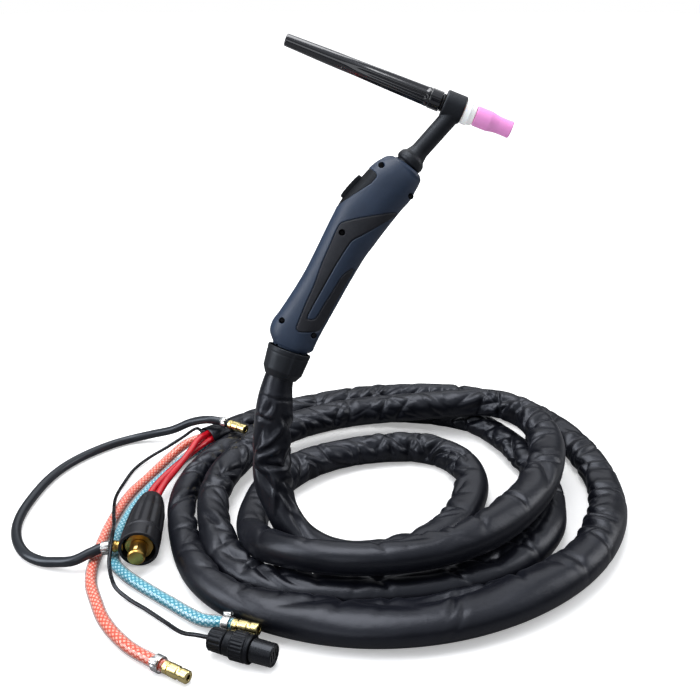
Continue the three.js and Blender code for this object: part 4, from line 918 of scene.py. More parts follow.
FEED_END = np.array([-133.5, -191.5, 12.8])
FEED_DIR = unit((0.923, -0.37, 0.1))
FEED_R = 5.3
SUPPLY_END = np.array([-174.3, 101.8, 33.5])
SUPPLY_DIR = unit(np.array([-153.3, 88.1, 33.5]) - SUPPLY_END)
SUPPLY_R = 4.5
BRAID_DEPTH = 0.85
HOSE_SIDES = 36
TAIL_TANGENT, TAIL_LEVEL, TAIL_UP = (a[-1] for a in path_axes(SHEATH[:, :3]))


def tail_path(sideways, height, tail, end=None):
    """A hose from inside the sheath, at an offset from its centre, out along its tail."""
    start = SHEATH[-1, :3] + TAIL_LEVEL * sideways + TAIL_UP * height
    path = catmull([start + TAIL_TANGENT * d for d in (-34, -14, 2)] + tail, 30)
    return path if end is None else np.vstack([path, end])


for name, path, radius, braid, node, slot in (
        ("coolant_return", tail_path(5.6, 1.2, RETURN_TAIL, RETURN_END), RETURN_R, "braid_red",
         "coolant_return_hose", "hose_red_braid"),
        ("coolant_feed", tail_path(-2.8, -5.6, FEED_TAIL, FEED_END), FEED_R, "braid_blue",
         "coolant_feed_hose", "hose_blue_braid")):
    for suffix, r, material in (("_braid", radius - BRAID_DEPTH, braid),
                                ("_clear_wall", radius, "clear")):
        dress(build(name + suffix, tube(path, r, HOSE_SIDES, 1.5)),
              material, "cable_set", node)

supply_path = np.vstack([SUPPLY_END + SUPPLY_DIR,
                         catmull([SUPPLY_END - SUPPLY_DIR * 9.5] + SUPPLY_TAIL, 24),
                         (-251.0, -99.2, 17.9)])
control_path = tail_path(4.6, 8.4, CONTROL_TAIL, (-146.5, -205.9, 11.7))
control_path = tail_path(4.6, 8.4, CONTROL_TAIL)
for name, path, radius, sides, step, material, node, slot in (
        ("power_cable_tube", tail_path(-7.0, 2.6, POWER_TAIL), 3.4, HOSE_SIDES, 1.5,
         "red_tube", "power_cable", "red_tube"),
        ("gas_line_tube", tail_path(-1.6, 7.6, GAS_TAIL), 3.4, HOSE_SIDES, 1.5,
         "red_tube", "gas_line", "red_tube"),
        ("control_cable_jacket", tail_path(4.6, 8.4, CONTROL_TAIL, (-146.5, -205.9, 11.7)),
         1.7, 20, 1.2, "gloss_black", "control_cable", "black_rubber"),
        ("gas_supply_hose_jacket", supply_path, SUPPLY_R, HOSE_SIDES, 1.6,
         "hose", "gas_supply_hose", "black_rubber")):
    dress(build(name, tube(path, radius, sides, step)), material, "cable_set", node)

# ---------------------------------------------------------------- quick plugs and ear clamps
# lathe profiles: distance along the axis, radius, corner radius
QUICK_PLUG = [
    (0, 0), (0, 4.9, 0.5), (4.2, 4.9, 0.3), (4.2, 4.1, 0.25), (5.4, 4.1, 0.25),
    (5.4, 5.1, 0.35), (12.5, 5.1, 0.35), (13.3, 4.4, 0.5), (15.3, 4.4, 0.5), (16.0, 4.9, 0.4),
    (21.6, 4.9, 0.5), (22.2, 4.3, 0.3), (22.2, 2.2, 0.3), (12, 2.2, 0), (12, 0)]
# half of the pinched ear: sideways, height over the hose
EAR_HALF = [(-3.6, 0.75), (-2.5, 1.1), (-1.75, 1.6), (-1.55, 2.3), (-2.15, 3.0), (-1.6, 3.45)]
# section of the ear's strip: in half thicknesses, across its width
EAR_STRIP = [(-1, -3.0), (-1, 3.0), (-0.7, 3.2), (0.7, 3.2), (1, 3.0), (1, -3.0), (0.7, -3.2),
             (-0.7, -3.2)]
EAR_HALF_THICK = 0.33


def quick_plug(name, node, origin, direction):
    def knurl(h, r, angle):
        collar = (h > 0.5) & (h < 3.8) & (r > 4.5)
        return r - np.where(collar, 0.16 * flutes(angle, 30), 0)

    part = lathe(QUICK_PLUG, origin, direction, seg=120, step=0.6, shape=knurl)
    dress(build(name, part), "pale", "cable_set", node)


def ear_clamp(name, node, origin, direction, radius, ear_up):
    """A rolled band with a pinched ear standing out of it."""
    d = unit(direction)
    r0, r1 = radius + 0.55, radius + 1.35
    band = lathe([(0.3, r0), (0.3, r1), (6.7, r1), (6.7, r0)], origin, d,
                 corner=0.3, step=0.8, closed=True)
    up = unit(np.asarray(ear_up, float) - np.dot(ear_up, d) * d)
    side = np.cross(d, up)
    centre = np.asarray(origin, float) + 3.5 * d
    half = EAR_HALF + [(0, 3.3)] + [(-x, z) for x, z in reversed(EAR_HALF)]
    line = catmull([(x, radius + z) for x, z in half], 5)
    run = np.gradient(line, axis=0)
    run /= np.linalg.norm(run, axis=1, keepdims=True)
    normal = np.stack([-run[:, 1], run[:, 0]], 1) * EAR_HALF_THICK
    ear = skin([[centre + side * (x + nx * c) + up * (z + nz * c) + d * w for c, w in EAR_STRIP]
                for (x, z), (nx, nz) in zip(line, normal)])
    dress(build(name, band, ear), "steel", "cable_set", node, sharp=50)


quick_plug("gas_plug_turned", "gas_quick_plug", SUPPLY_END + SUPPLY_DIR * 1.4, SUPPLY_DIR)
ear_clamp("gas_plug_ear_clamp", "gas_plug_clamp", SUPPLY_END - SUPPLY_DIR * 8.2, SUPPLY_DIR,
          SUPPLY_R, (-0.3, -0.5, 0.8))
quick_plug("return_plug_turned", "return_quick_plug", RETURN_END + RETURN_DIR * 0.4, RETURN_DIR)
ear_clamp("return_ear_clamp", "return_hose_clamp", RETURN_END - RETURN_DIR * 9.0, RETURN_DIR,
          RETURN_R, (-0.4, -0.5, 0.77))
quick_plug("feed_plug_turned", "feed_quick_plug", FEED_END + FEED_DIR * 0.4, FEED_DIR)
ear_clamp("feed_ear_clamp", "feed_hose_clamp", FEED_END - FEED_DIR * 8.6, FEED_DIR,
          FEED_R, (0.2, 0.4, 0.9))
ear_clamp("gas_nipple_ear_clamp", "gas_nipple_clamp", (-252.4, -99.45, 17.9),
          (-0.985, -0.18, 0.0), SUPPLY_R, (0.1, -0.75, 0.66))

# ---------------------------------------------------------------- welder plug
WELD_BACK = np.array([-231.8, -24.0, 17.9])
weld_run = np.array([-226.8, -102.0, 17.9]) - WELD_BACK
WELD_DIR, WELD_LEN = unit(weld_run), float(np.linalg.norm(weld_run))
HEX_FROM = WELD_BACK + WELD_DIR * (WELD_LEN - 24)
HEX_APOTHEM = 11.6


def sleeve_shape(h, r, angle):
    fluted = ease((h - 6) / 8) * ease((59 - h) / 4) * (r > 9.9)
    r = r - 1.35 * fluted * flutes(angle, 9, 2.2)
    front = ease((h - 64.5) / 1.0) * ease((WELD_LEN - 1.0 - h) / 1.0) * (r > 16.2)
    return r - 0.7 * front * flutes(angle, 6, 14)


def hex_shape(h, r, angle):
    flat = HEX_APOTHEM / np.cos((angle % (TAU / 6)) - TAU / 12)
    return np.where(r > 8.7, np.minimum(r, flat), r)


def key_section(w):
    """Outline of the key on the pin, a little smaller at its ends."""
    k = 0.25 if abs(w) > 4.7 else 0.0
    half = [(-1.8 + k, 6.8), (-1.8 + k, 8.1 - k), (-1.4 + k, 8.6 - k)]
    return w, half + [(-x, z) for x, z in reversed(half)]


sleeve = lathe([
    (0, 8.0, 0.4), (0, 10.2, 0.6), (1.2, 10.8, 0.8), (10, 13.2, 3), (26, 15.8, 6),
    (46, 16.9, 6), (60, 17.4, 0.6), (61, 16.8, 0.3), (63, 16.8, 0.3), (64, 17.5, 0.4),
    (WELD_LEN, 17.5, 1.1), (WELD_LEN, 14.6, 0.5), (WELD_LEN - 32, 14.6, 0.5),
    (WELD_LEN - 36, 9.4, 0.5)],
    WELD_BACK, WELD_DIR, seg=180, step=0.9, closed=True, shape=sleeve_shape)
dress(build("welder_plug_sleeve", sleeve), "sleeve", "cable_set", "dinse_sleeve")

hex_body = lathe([
    (-9, 0), (-9, 8.6, 0.4), (0, 8.6, 0.2), (0, 12.2, 0.3), (1.1, 13.4, 0.3), (18.6, 13.4, 0.3),
    (20, 12.0, 0.3), (20, 4.3, 0.3), (12, 4.3, 0), (12, 0)],
    HEX_FROM, WELD_DIR, seg=240, step=0.7, shape=hex_shape)
dress(build("welder_plug_hex_body", hex_body), "brass", "cable_set", "dinse_body",
      sharp=24)

pin = lathe([
    (12.6, 0), (12.6, 3.7, 0.2), (20.4, 3.7, 0.2), (20.4, 7.6, 0.5), (35.5, 7.6, 0.5),
    (37, 6.6, 0.4), (37, 0)], HEX_FROM, WELD_DIR, seg=120, step=0.8)
key = prism(HEX_FROM + WELD_DIR * 30, unit(np.cross(WELD_DIR, UP)), UP, WELD_DIR,
            [key_section(w) for w in (-4.9, -4.6, 4.6, 4.9)])
dress(build("welder_plug_pin", pin, key), "brass", "cable_set", "dinse_pin", sharp=40)

nipple = lathe([
    (13.8, 0), (13.8, 4.4, 0.2), (19.2, 4.4, 0.3), (19.6, 5.2, 0.3), (22.6, 5.2, 0.3),
    (22.9, 4.2, 0.2), (23.4, 4.2, 0.2), (23.4, 1.8, 0.2), (16, 1.8, 0), (16, 0)],
    WELD_BACK + WELD_DIR * (WELD_LEN - 6.6), unit((-0.985, -0.1, 0)), step=0.6)
dress(build("gas_side_nipple", nipple), "brass", "cable_set", "gas_nipple")

# ---------------------------------------------------------------- control plug
CONTROL = np.array([-149.0, -205.0, 11.7]), unit((51.7, -19.5, 0))      # origin, direction


def ribs(count, depth, start, end, over, power):
    """Grooves cut between start and end into radii larger than over."""
    return lambda h, r, angle: (r - depth * ease((h - start) / 0.8) * ease((end - h) / 0.8)
                                * (r > over) * flutes(angle, count, power))


gland = lathe([
    (0, 2.3, 0.3), (0, 7.6, 1.2), (1.5, 9.0, 1.2), (12.5, 9.4, 0.7), (13.4, 8.4, 0.4),
    (13.4, 2.3, 0.2)], *CONTROL, seg=160, step=0.7, closed=True,
    shape=ribs(14, depth=0.55, start=1.6, end=12.2, over=8.5, power=1.6))
dress(build("control_gland_moulding", gland), "plastic", "cable_set", "control_plug_gland")
shell = lathe([
    (13.7, 2.3, 0.2), (13.7, 8.8, 0.4), (14.4, 9.6, 0.4), (19.4, 9.6, 0.3), (19.4, 8.2, 0.2),
    (35.4, 8.2, 0.2), (35.4, 2.3, 0.2)], *CONTROL, seg=120, step=0.8, closed=True)
dress(build("control_shell_moulding", shell), "plastic", "cable_set", "control_plug_shell")
coupling = lathe([
    (19.7, 8.5, 0.2), (19.7, 10.8, 0.3), (20.4, 11.3, 0.3), (31.0, 11.3, 0.3), (31.7, 10.6, 0.2),
    (32.4, 10.6, 0.2), (33.0, 11.2, 0.3), (35.0, 11.2, 0.3), (35.4, 10.8, 0.2),
    (35.4, 8.5, 0.2)], *CONTROL, seg=240, step=0.6, closed=True,
    shape=ribs(26, depth=0.45, start=20.6, end=30.8, over=10.9, power=0.8))
dress(build("control_coupling_ring", coupling), "plastic", "plug_ring", "control_plug_coupling")

insert = build("control_plug_contacts", lathe([
    (35.7, 0), (35.7, 9.0, 0.3), (52.6, 8.8, 0.6), (53.4, 8.2, 0.4), (53.4, 7.3, 0.2),
    (52.7, 7.1, 0.2), (52.7, 0)], *CONTROL, seg=120, step=0.8))
slots = []
for x0, x1 in ((-4.6, -3.0), (-0.8, 0.8), (3.0, 4.6)):
    outline = [(x0, -3.2), (x1, -3.2), (x1, 3.2), (x0, 3.2)]
    slots.append(prism(CONTROL[0], unit(np.cross(CONTROL[1], UP)), UP, CONTROL[1],
                       [(46, outline), (56, outline)]))
boolean(insert, build("tmp_slots", *slots), "DIFFERENCE")
dress(insert, "gloss_black", "cable_set", "control_plug_insert", sharp=35)

# ---------------------------------------------------------------- torch head, cup and cap
BACK = -HEAD_DIR
SEAL_AT, SEAL_R, SEAL_THICK_R = 10.2, 6.75, 0.95


def build_head():
    """Head barrel and neck blended into one moulding, then bored through."""
    head = build("torch_head_moulding", lathe([
        (-9, 0), (-9, 11.0, 0.5), (-8.2, 11.9, 0.7), (8.2, 11.9, 0.7), (9, 11.0, 0.5), (9, 0)],
        HEAD, HEAD_DIR, seg=120, step=1.0))
    neck = build("tmp_neck", lathe([
        (0, 0), (0, 7.8, 0), (39, 7.7, 9), (45.0, 9.3, 4), (47.4, 11.7, 1.6), (51.0, 12.5, 1.8),
        (53.6, 12.0, 1.2), (54.9, 10.2, 0.5), (NECK_LEN - 1, 9.6, 0.8), (NECK_LEN, 8.6, 0.5),
        (NECK_LEN, 0)], NECK_TOP, NECK_DIR, seg=96, step=1.0))
    boolean(head, neck, "UNION")
    bake(head, "REMESH", mode="VOXEL", voxel_size=0.5 * MM)
    bake(head, "SMOOTH", factor=0.5, iterations=10)
    bore = build("tmp_bore", lathe([(-14, 0), (-14, 8.2, 0), (14, 8.2, 0), (14, 0)],
                                   HEAD, HEAD_DIR, seg=96, corner=0))
    boolean(head, bore, "DIFFERENCE")
    dress(head, "body", "handle", "torch_body", sharp=40)


def cap_shape(h, r, angle):
    """Long flutes that fade towards the tip, and a fine knurl on the collar."""
    fluted = ease((h - 23.2) / 2.5) * ease((108 - h) / 44) * (r > 4.5)
    knurled = ease((h - 11.5) / 0.6) * ease((21.6 - h) / 0.5) * (r > 7.6)
    return r - 0.78 * fluted * flutes(angle, 8, 0.9) - 0.10 * knurled * flutes(angle, 24)


build_head()
# name, material, body, node, slot, lathe settings, profile
for name, material, body, node, slot, settings, profile in (
        ("head_core_brass", "brass", "handle", "brass_head", "brass", dict(closed=True), [
            (-8.7, 5.4, 0.2), (-8.7, 7.8, 0.3), (8.7, 7.8, 0.3), (8.7, 5.4, 0.2),
            (1.5, 5.4, 0.2), (1.5, 2.9, 0.2), (-2, 2.9, 0.2), (-2, 5.4, 0.2)]),
        ("cup_gasket_turned", "ptfe", "handle", "cup_gasket", "ptfe",
         dict(seg=96, step=0.7, closed=True), [
            (9.3, 7.8, 0.3), (9.3, 10.0, 0.5), (10.2, 10.7, 0.5), (14.4, 10.7, 0.5),
            (15.2, 9.7, 0.5), (18.4, 9.3, 0.4), (19.1, 8.6, 0.4), (19.1, 7.8, 0.3)]),
        ("ceramic_cup", "pink", "cup", "nozzle", "pink_ceramic",
         dict(seg=96, step=0.8, closed=True), [
            (19.5, 5.6, 0.4), (19.5, 7.9, 0.6), (20.4, 8.6, 0.6), (32.5, 8.6, 4),
            (36.5, 7.7, 3.5), (40.5, 7.15, 5), (48, 7.15, 4), (51.8, 7.35, 0.6),
            (52.6, 6.7, 0.5), (52.6, 5.0, 0.4), (40, 5.4, 2), (36, 5.6, 2)]),
        ("collet_body_turned", "copper", "handle", "collet_body", "copper", dict(closed=True), [
            (1.9, 2.6, 0.2), (1.9, 5.0, 0.3), (14, 5.0, 0.3), (14, 7.4, 0.4), (18.6, 7.4, 0.4),
            (18.6, 5.2, 0.3), (34, 4.6, 0.5), (37, 3.4, 0.5), (37, 2.6, 0.2)]),
        ("electrode_ground", "tungsten", "electrode", "tungsten_electrode", "tungsten",
         dict(seg=32, step=3.0), [(-98, 0), (-98, 1.2, 0.2), (46.5, 1.2, 0.5), (50.5, 0)])):
    dress(build(name, lathe(profile, HEAD, HEAD_DIR, **settings)), material, body, node)

cap = lathe([
    (128, 0), (128, 2.1, 0.3), (2.4, 2.1, 0.2), (2.4, 5.0, 0.4), (11.4, 5.0, 0.4),
    (11.4, 8.0, 0.3), (12.0, 8.6, 0.4), (21.2, 8.6, 0.35), (21.6, 8.1, 0.2), (22.4, 8.1, 0.2),
    (23, 8.4, 0.3), (62, 7.6, 20), (90, 6.8, 20), (120, 6.2, 20), (151.5, 5.3, 0.35),
    (152.1, 4.7, 0.25), (152.1, 0)], HEAD, BACK, seg=192, step=0.9, shape=cap_shape, up=(0, 1, 0))
dress(build("back_cap_moulding", cap), "cap", "cap", "back_cap")

round_axis, round_ring = np.meshgrid(np.arange(72) / 72 * TAU, np.arange(20) / 20 * TAU,
                                     indexing="ij")
axis, e1, e2 = axes_for(BACK)
reach = SEAL_R + SEAL_THICK_R * np.cos(round_ring)
seal = (HEAD + BACK * SEAL_AT + (reach * np.cos(round_axis))[..., None] * e1
        + (reach * np.sin(round_axis))[..., None] * e2
        + (SEAL_THICK_R * np.sin(round_ring))[..., None] * axis)
dress(build("back_cap_seal_ring", skin(seal, wrap=True)), "body", "cap_seal", "back_cap_o_ring")

# ---------------------------------------------------------------- handle
# stations from the cable end to the neck: x, z of the upper left edge, x, z of the lower
# right edge, half thickness
HANDLE = np.array([
    (-110.6, 192.7, -80.6, 180.5, 16.2), (-113.0, 200.5, -76.2, 182.6, 17.4),
    (-111.0, 209.0, -73.3, 188.6, 18.1), (-104.2, 218.4, -68.7, 197.6, 18.2),
    (-87.6, 243.5, -53.9, 224.0, 17.6), (-78.9, 258.9, -45.2, 239.4, 17.4),
    (-64.1, 288.8, -29.7, 264.9, 17.6), (-58.1, 300.7, -23.0, 273.6, 17.9),
    (-51.2, 313.4, -16.0, 283.0, 18.2), (-33.5, 333.0, -0.2, 302.8, 18.4),
    (-24.0, 342.6, 8.4, 312.6, 17.8), (-17.1, 347.1, 12.7, 320.3, 16.4),
    (-10.7, 349.6, 15.6, 326.0, 14.4), (-5.2, 347.6, 16.2, 331.2, 12.9)])
# outline of the grip inlay: x, z
GRIP = np.array([
    (-3.4, 301.6), (-22.1, 298.6), (-34.9, 296.5), (-50.4, 293.1), (-52.9, 290.5),
    (-56.4, 283.7), (-60.7, 273.5), (-67.6, 258.1), (-73.8, 240.0), (-80.7, 225.3),
    (-86.0, 212.3), (-89.5, 203.6), (-86.9, 200.1), (-69.6, 200.1), (-65.2, 206.0),
    (-56.5, 222.5), (-47.0, 239.5), (-39.5, 252.4), (-41.8, 254.1), (-49.5, 248.9),
    (-56.5, 237.7), (-65.2, 223.9), (-73.0, 210.8), (-80.8, 211.6), (-73.8, 224.6),
    (-65.1, 240.1), (-56.4, 255.6), (-46.9, 270.6), (-41.8, 277.7), (-33.2, 281.9),
    (-22.0, 288.0), (-3.2, 298.2)])
for _ in range(2):      # round the corners
    after = np.roll(GRIP, -1, 0)
    GRIP = np.stack([0.82 * GRIP + 0.18 * after, 0.18 * GRIP + 0.82 * after], 1).reshape(-1, 2)
SCREWS = [(-17.1, 340.6), (8.2, 315.3), (-50.2, 284.3), (-101.6, 210.1), (-74.6, 197.0)]    # x, z
SCREW_R = 2.6
SWITCH = np.array((-38.9, 320.4))                           # x, z
SWITCH_OUT = np.array((-NECK_AXIS[1], NECK_AXIS[0]))        # out of the handle; along is NECK_AXIS


def outline_distance(x, z, outline):
    """Signed distance to a closed outline, negative inside."""
    best = np.full(x.shape, 1e9)
    inside = np.zeros(x.shape, bool)
    for k in range(len(outline)):
        ax, az = outline[k]
        bx, bz = outline[(k + 1) % len(outline)]
        ex, ez = bx - ax, bz - az
        t = np.clip(((x - ax) * ex + (z - az) * ez) / (ex * ex + ez * ez + 1e-12), 0, 1)
        best = np.minimum(best, np.hypot(x - ax - t * ex, z - az - t * ez))
        crosses = ((az > z) != (bz > z)) & (x < (bx - ax) * (z - az) / (bz - az + 1e-12) + ax)
        inside ^= crosses
    return np.where(inside, -best, best)


def inlay_relief(distance, groove, inside, inside_run, lip):
    """A groove along an inlay's edge, the level inside it and a soft lip outside."""
    return (-groove * np.exp(-np.abs(distance / 0.5) ** 2)
            + inside * ease(-distance / inside_run) * (distance < 0)
            + lip * ease((1.6 - distance) / 1.6) * (distance > 0))


def tray_distance(X, Z):
    """Signed distance to the switch inset, a leaf shape that wraps over the upper edge."""
    rel = np.stack([X, Z], -1) - SWITCH
    along, out = rel @ NECK_AXIS, rel @ SWITCH_OUT
    low = np.clip(-2.9 - 0.30 * along, -6.6, 3.2)
    over_along = np.maximum(np.abs(along + 0.5) - 22.0 + 4.0, 0)
    over_out = np.maximum(low - out + 4.0, 0)
    return np.where(np.abs(along) > 60, 40.0, np.hypot(over_along, over_out) - 4.0)


def handle_surface(angle, ring_count):
    """Rings of the skin in torch coordinates, distances to the grip and tray outlines, the
    centre, edge direction, half width and half thickness of each ring, and the screw tops."""
    middle = (HANDLE[:, 0:2] + HANDLE[:, 2:4]) / 2
    stations = np.column_stack([middle, np.zeros(len(HANDLE)), HANDLE])
    length, rows = by_length(catmull(stations, 40), 1.0)
    along = np.linspace(0, length[-1], ring_count)
    rows = interp_rows(along, length, rows)
    left, right, half_thick = rows[:, 3:5], rows[:, 5:7], rows[:, 7]
    cos, sin = squircle(angle, 2.35)
    centre = (left + right) / 2
    edge = (right - left) / np.linalg.norm(right - left, axis=1, keepdims=True)
    half_width = np.linalg.norm(right - left, axis=1) / 2
    X = centre[:, 0:1] + (half_width[:, None] * cos) * edge[:, 0:1]
    Z = centre[:, 1:2] + (half_width[:, None] * cos) * edge[:, 1:2]
    Y = half_thick[:, None] * sin
    P = np.stack([X, Y, Z], -1)
    N = np.cross(np.roll(P, -1, 1) - np.roll(P, 1, 1), np.gradient(P, axis=0))
    N /= np.linalg.norm(N, axis=-1, keepdims=True)
    N *= np.sign(np.sum(N * (P - P.mean(1, keepdims=True)), -1, keepdims=True))

    grip = np.maximum(outline_distance(X, Z, GRIP), 4.3 - np.abs(Y))
    tray = tray_distance(X, Z)
    relief = inlay_relief(grip, groove=0.85, inside=0.22, inside_run=1.2, lip=0.10)
    relief += inlay_relief(tray, groove=0.55, inside=-0.40, inside_run=1.0, lip=0.12)
    # a raised rim round the mouth at the neck
    relief += 0.75 * np.exp(-((along[-1] - along - 1.6) / 1.3) ** 2)[:, None]
    # the joint between the two half shells
    relief -= 0.30 * np.exp(-(Y / 0.28) ** 2)
    P = P + relief[..., None] * N
    # screw pockets from the -Y side
    screw_tops = []
    for x, z in SCREWS:
        away = np.hypot(P[..., 0] - x, P[..., 2] - z)
        surface = P[..., 1][(away < 1.6) & (P[..., 1] < -2)].mean()
        floor_y = max(-8.6, surface + 4.2)
        screw_tops.append(floor_y - 1.4)
        k = ease((2.75 - away) / 0.45) * (P[..., 1] < -2)
        P[..., 1] = P[..., 1] * (1 - k) + floor_y * k
    return P, grip, tray, (centre, edge, half_width, half_thick), screw_tops


def end_normal(edge, advance):
    normal = np.array([-edge[1], edge[0]])
    return -normal if np.dot(normal, advance) < 0 else normal


def end_rings(section, angle, advance, mouth, mouth_r, depth, roll):
    """Rings that roll the skin over an end by (inset, advance) steps, across to a round mouth
    and in to the depth."""
    centre, edge, half_width, half_thick = section
    normal = end_normal(edge, advance)
    cos, sin = squircle(angle, 2.35)

    def ring(middle, across, thick, ahead):
        return np.stack([middle[0] + across * edge[0] + ahead * normal[0], thick,
                         middle[1] + across * edge[1] + ahead * normal[1]], -1)

    rings = [ring(centre, (half_width - inset) * cos, (half_thick - inset) * sin, ahead)
             for inset, ahead in roll]
    last = rings[-1]
    lip = ring(mouth, mouth_r * np.cos(angle), mouth_r * np.sin(angle), roll[-1][1])
    inward = np.array([normal[0], 0, normal[1]])
    for f, deep in ((0.5, 0.0), (0.9, 0.1), (1.0, 0.6), (1.0, 2.0), (1.0, depth)):
        rings.append(last * (1 - f) + lip * f - deep * inward)
    return np.array(rings)


def handle_part(points, quads, name, material, node, slot, thickness):
    used = np.unique(quads)
    renumber = np.full(len(points), -1)
    renumber[used] = np.arange(len(used))
    ob = make_object(name, points[used], [renumber[quads]])
    bake(ob, "SOLIDIFY", thickness=thickness * MM, offset=-1)
    dress(ob, material, "handle", node)


def build_handle():
    """Cuts the skin into half shells, grip pads and switch tray; returns the screw tops."""
    sides = 320
    angle = (np.arange(sides) + 0.5) / sides * TAU
    P, grip, tray, sections, screw_tops = handle_surface(angle, 520)
    first, last = [[column[k] for column in sections] for k in (0, -1)]
    cable_end = end_rings(first, angle, -HANDLE_AXIS, mouth=first[0], mouth_r=14.5, depth=7.0,
                          roll=[(0.35, 0.30), (0.9, 0.75), (1.6, 1.05), (2.4, 1.15)])[::-1]
    # the mouth is where the neck axis crosses the end plane
    normal = end_normal(last[1], NECK_AXIS)
    reach = np.dot(last[0] - NECK_XZ, normal) / np.dot(NECK_AXIS, normal)
    neck_end = end_rings(last, angle, NECK_AXIS, mouth=NECK_XZ + NECK_AXIS * reach,
                         mouth_r=10.45, depth=9.0, roll=[(0.2, 0.35), (0.7, 0.75), (1.5, 0.95)])
    rings = np.concatenate([cable_end, P, neck_end])
    points = torch_point(rings).reshape(-1, 3)
    quads = ring_quads(len(rings), sides)[2]
    if signed_volume(points, quads) < 0:
        quads = quads[:, ::-1]

    ends = ((len(cable_end), len(neck_end)), (0, 0))
    in_grip, in_tray = (np.pad(d, ends, constant_values=9.0).reshape(-1)[quads].mean(1) < 0
                        for d in (grip, tray))
    corners = rings.reshape(-1, 3)[quads]
    front = corners[..., 1].mean(1) < 0
    # the inset is cut out round the button, with a running gap
    middle = corners.mean(1)
    along = ((middle[:, 0] - SWITCH[0]) * NECK_AXIS[0] + (middle[:, 2] - SWITCH[1]) * NECK_AXIS[1])
    well = np.hypot(np.maximum(np.abs(along) - 9.45, 0),
                    np.maximum(np.abs(middle[:, 1]) - 5.05, 0)) < 3.0
    shell = ~in_grip & ~in_tray
    for mask, *rest in (
            (shell & front, "handle_half_left", "handle", "handle_shell_left",
             "handle_plastic", 1.2),
            (shell & ~front, "handle_half_right", "handle", "handle_shell_right",
             "handle_plastic", 1.2),
            (in_grip & front, "grip_pad_left", "grip", "grip_inlay_left", "grip_inlay", 0.9),
            (in_grip & ~front, "grip_pad_right", "grip", "grip_inlay_right", "grip_inlay", 0.9),
            (in_tray & ~in_grip & ~well, "switch_tray", "tray", "switch_module",
             "torch_rubber", 0.4)):
        handle_part(points, quads[mask], *rest)
    return screw_tops


def build_screw(number, x, z, top):
    """A slightly dished head with a cross recess, facing -Y."""
    radii = np.concatenate([[0.02], np.linspace(0.15, 2.45, 17), [2.58, SCREW_R]])[:, None]
    angle = np.arange(64) / 64 * TAU
    dx, dz = radii * np.cos(angle), radii * np.sin(angle)
    ax, az = np.abs(dx), np.abs(dz)
    cross = ((ax < 0.38) & (az < 1.65)) | ((az < 0.38) & (ax < 1.65))
    y = top + 0.35 * (radii / SCREW_R) ** 3 + 0.9 * cross
    y[-1] += 0.25
    face = np.stack([x + dx, y, z + dz], -1)
    foot = np.stack([x + dx[-1], np.full(64, top + 2.1), z + dz[-1]], -1)
    ob = build("screw_head_%d" % number, skin(torch_point(np.concatenate([face, foot[None]]))))
    dress(ob, "screw", "handle", "handle_screw_%d" % number, sharp=40)


def build_trigger():
    """A block with rounded corners and top edge, and a crowned, ridged top."""
    half_len, half_wide, corner, edge = 12, 7.6, 2.8, 1.3
    base, top, dome = 0.75, 7.4, 0.7
    ridge, pitch = 0.28, 3.4
    outline = []
    for k, (sx, sy) in enumerate(((1, 1), (-1, 1), (-1, -1), (1, -1))):
        for t in np.linspace(0, math.pi / 2, 11):
            t = k * math.pi / 2 + t
            outline.append(((half_len - corner) * sx + corner * math.cos(t),
                            (half_wide - corner) * sy + corner * math.sin(t)))
    outline = resample(np.array(outline), 0.8, closed=True)
    levels = [(outline, z) for z in (base, base + 0.2 * (top - base), top - edge)]
    for t in np.linspace(0, 1, 6)[1:] * math.pi / 2:
        inset = edge * (1 - math.cos(t))
        levels.append((outline - np.sign(outline) * inset, top - edge + edge * math.sin(t)))
    rim = levels[-1][0]
    levels += [(rim * f, top) for f in np.linspace(1, 0.02, 16)[1:]]
    grid = np.array([np.column_stack([pts, np.full(len(pts), z)]) for pts, z in levels])
    along, y, out = grid[..., 0], grid[..., 1], grid[..., 2]
    ridges = (ridge * np.cos(along * TAU / pitch) * ease((9.0 - np.abs(along)) / 1.5)
              * ease((5.2 - np.abs(y)) / 1.2)) * (out > top - 1e-6)
    crown = dome * (1 - (along / half_len) ** 2) * (1 - 0.3 * (y / half_wide) ** 2) - dome
    out = out + np.where(out > base + 0.5 * (top - base), crown, 0) + ridges
    rings = np.stack([SWITCH[0] + along * NECK_AXIS[0] + out * SWITCH_OUT[0], y,
                      SWITCH[1] + along * NECK_AXIS[1] + out * SWITCH_OUT[1]], -1)
    dress(build("trigger_cap", skin(torch_point(rings))), "plastic", "trigger",
          "trigger_button")


for k, top_y in enumerate(build_handle()):
    build_screw(k + 1, *SCREWS[k], top_y)
build_trigger()

# ---------------------------------------------------------------- knuckle and collar
BALL_R = 13.8
SEAT_R = 14.35

ball = [(BALL_R * math.sin(a), BALL_R * math.cos(a), 0) for a in np.linspace(-0.78, 0.47, 16)]
ball = [(ball[0][0], 9.6, 0.3)] + ball + [(16, ball[-1][1], 0.5), (16, 9.6, 0.3)]
dress(build("knuckle_ball", lathe(ball, BALL, HANDLE_DIR, seg=96, step=0.8, closed=True)),
      "gloss_black", "handle", "ball_joint")
seat = [(h, math.sqrt(SEAT_R ** 2 - h * h), 0) for h in np.linspace(-4.4, -10.8, 8)]
seat = [(-4.4, 17.4, 0.3)] + seat + [(-10.8, 17.4, 0.3)]
dress(build("knuckle_seat", lathe(seat, BALL, COLLAR_DIR, seg=96, step=0.8, closed=True)),
      "gloss_black", "swivel", "swivel_seat")


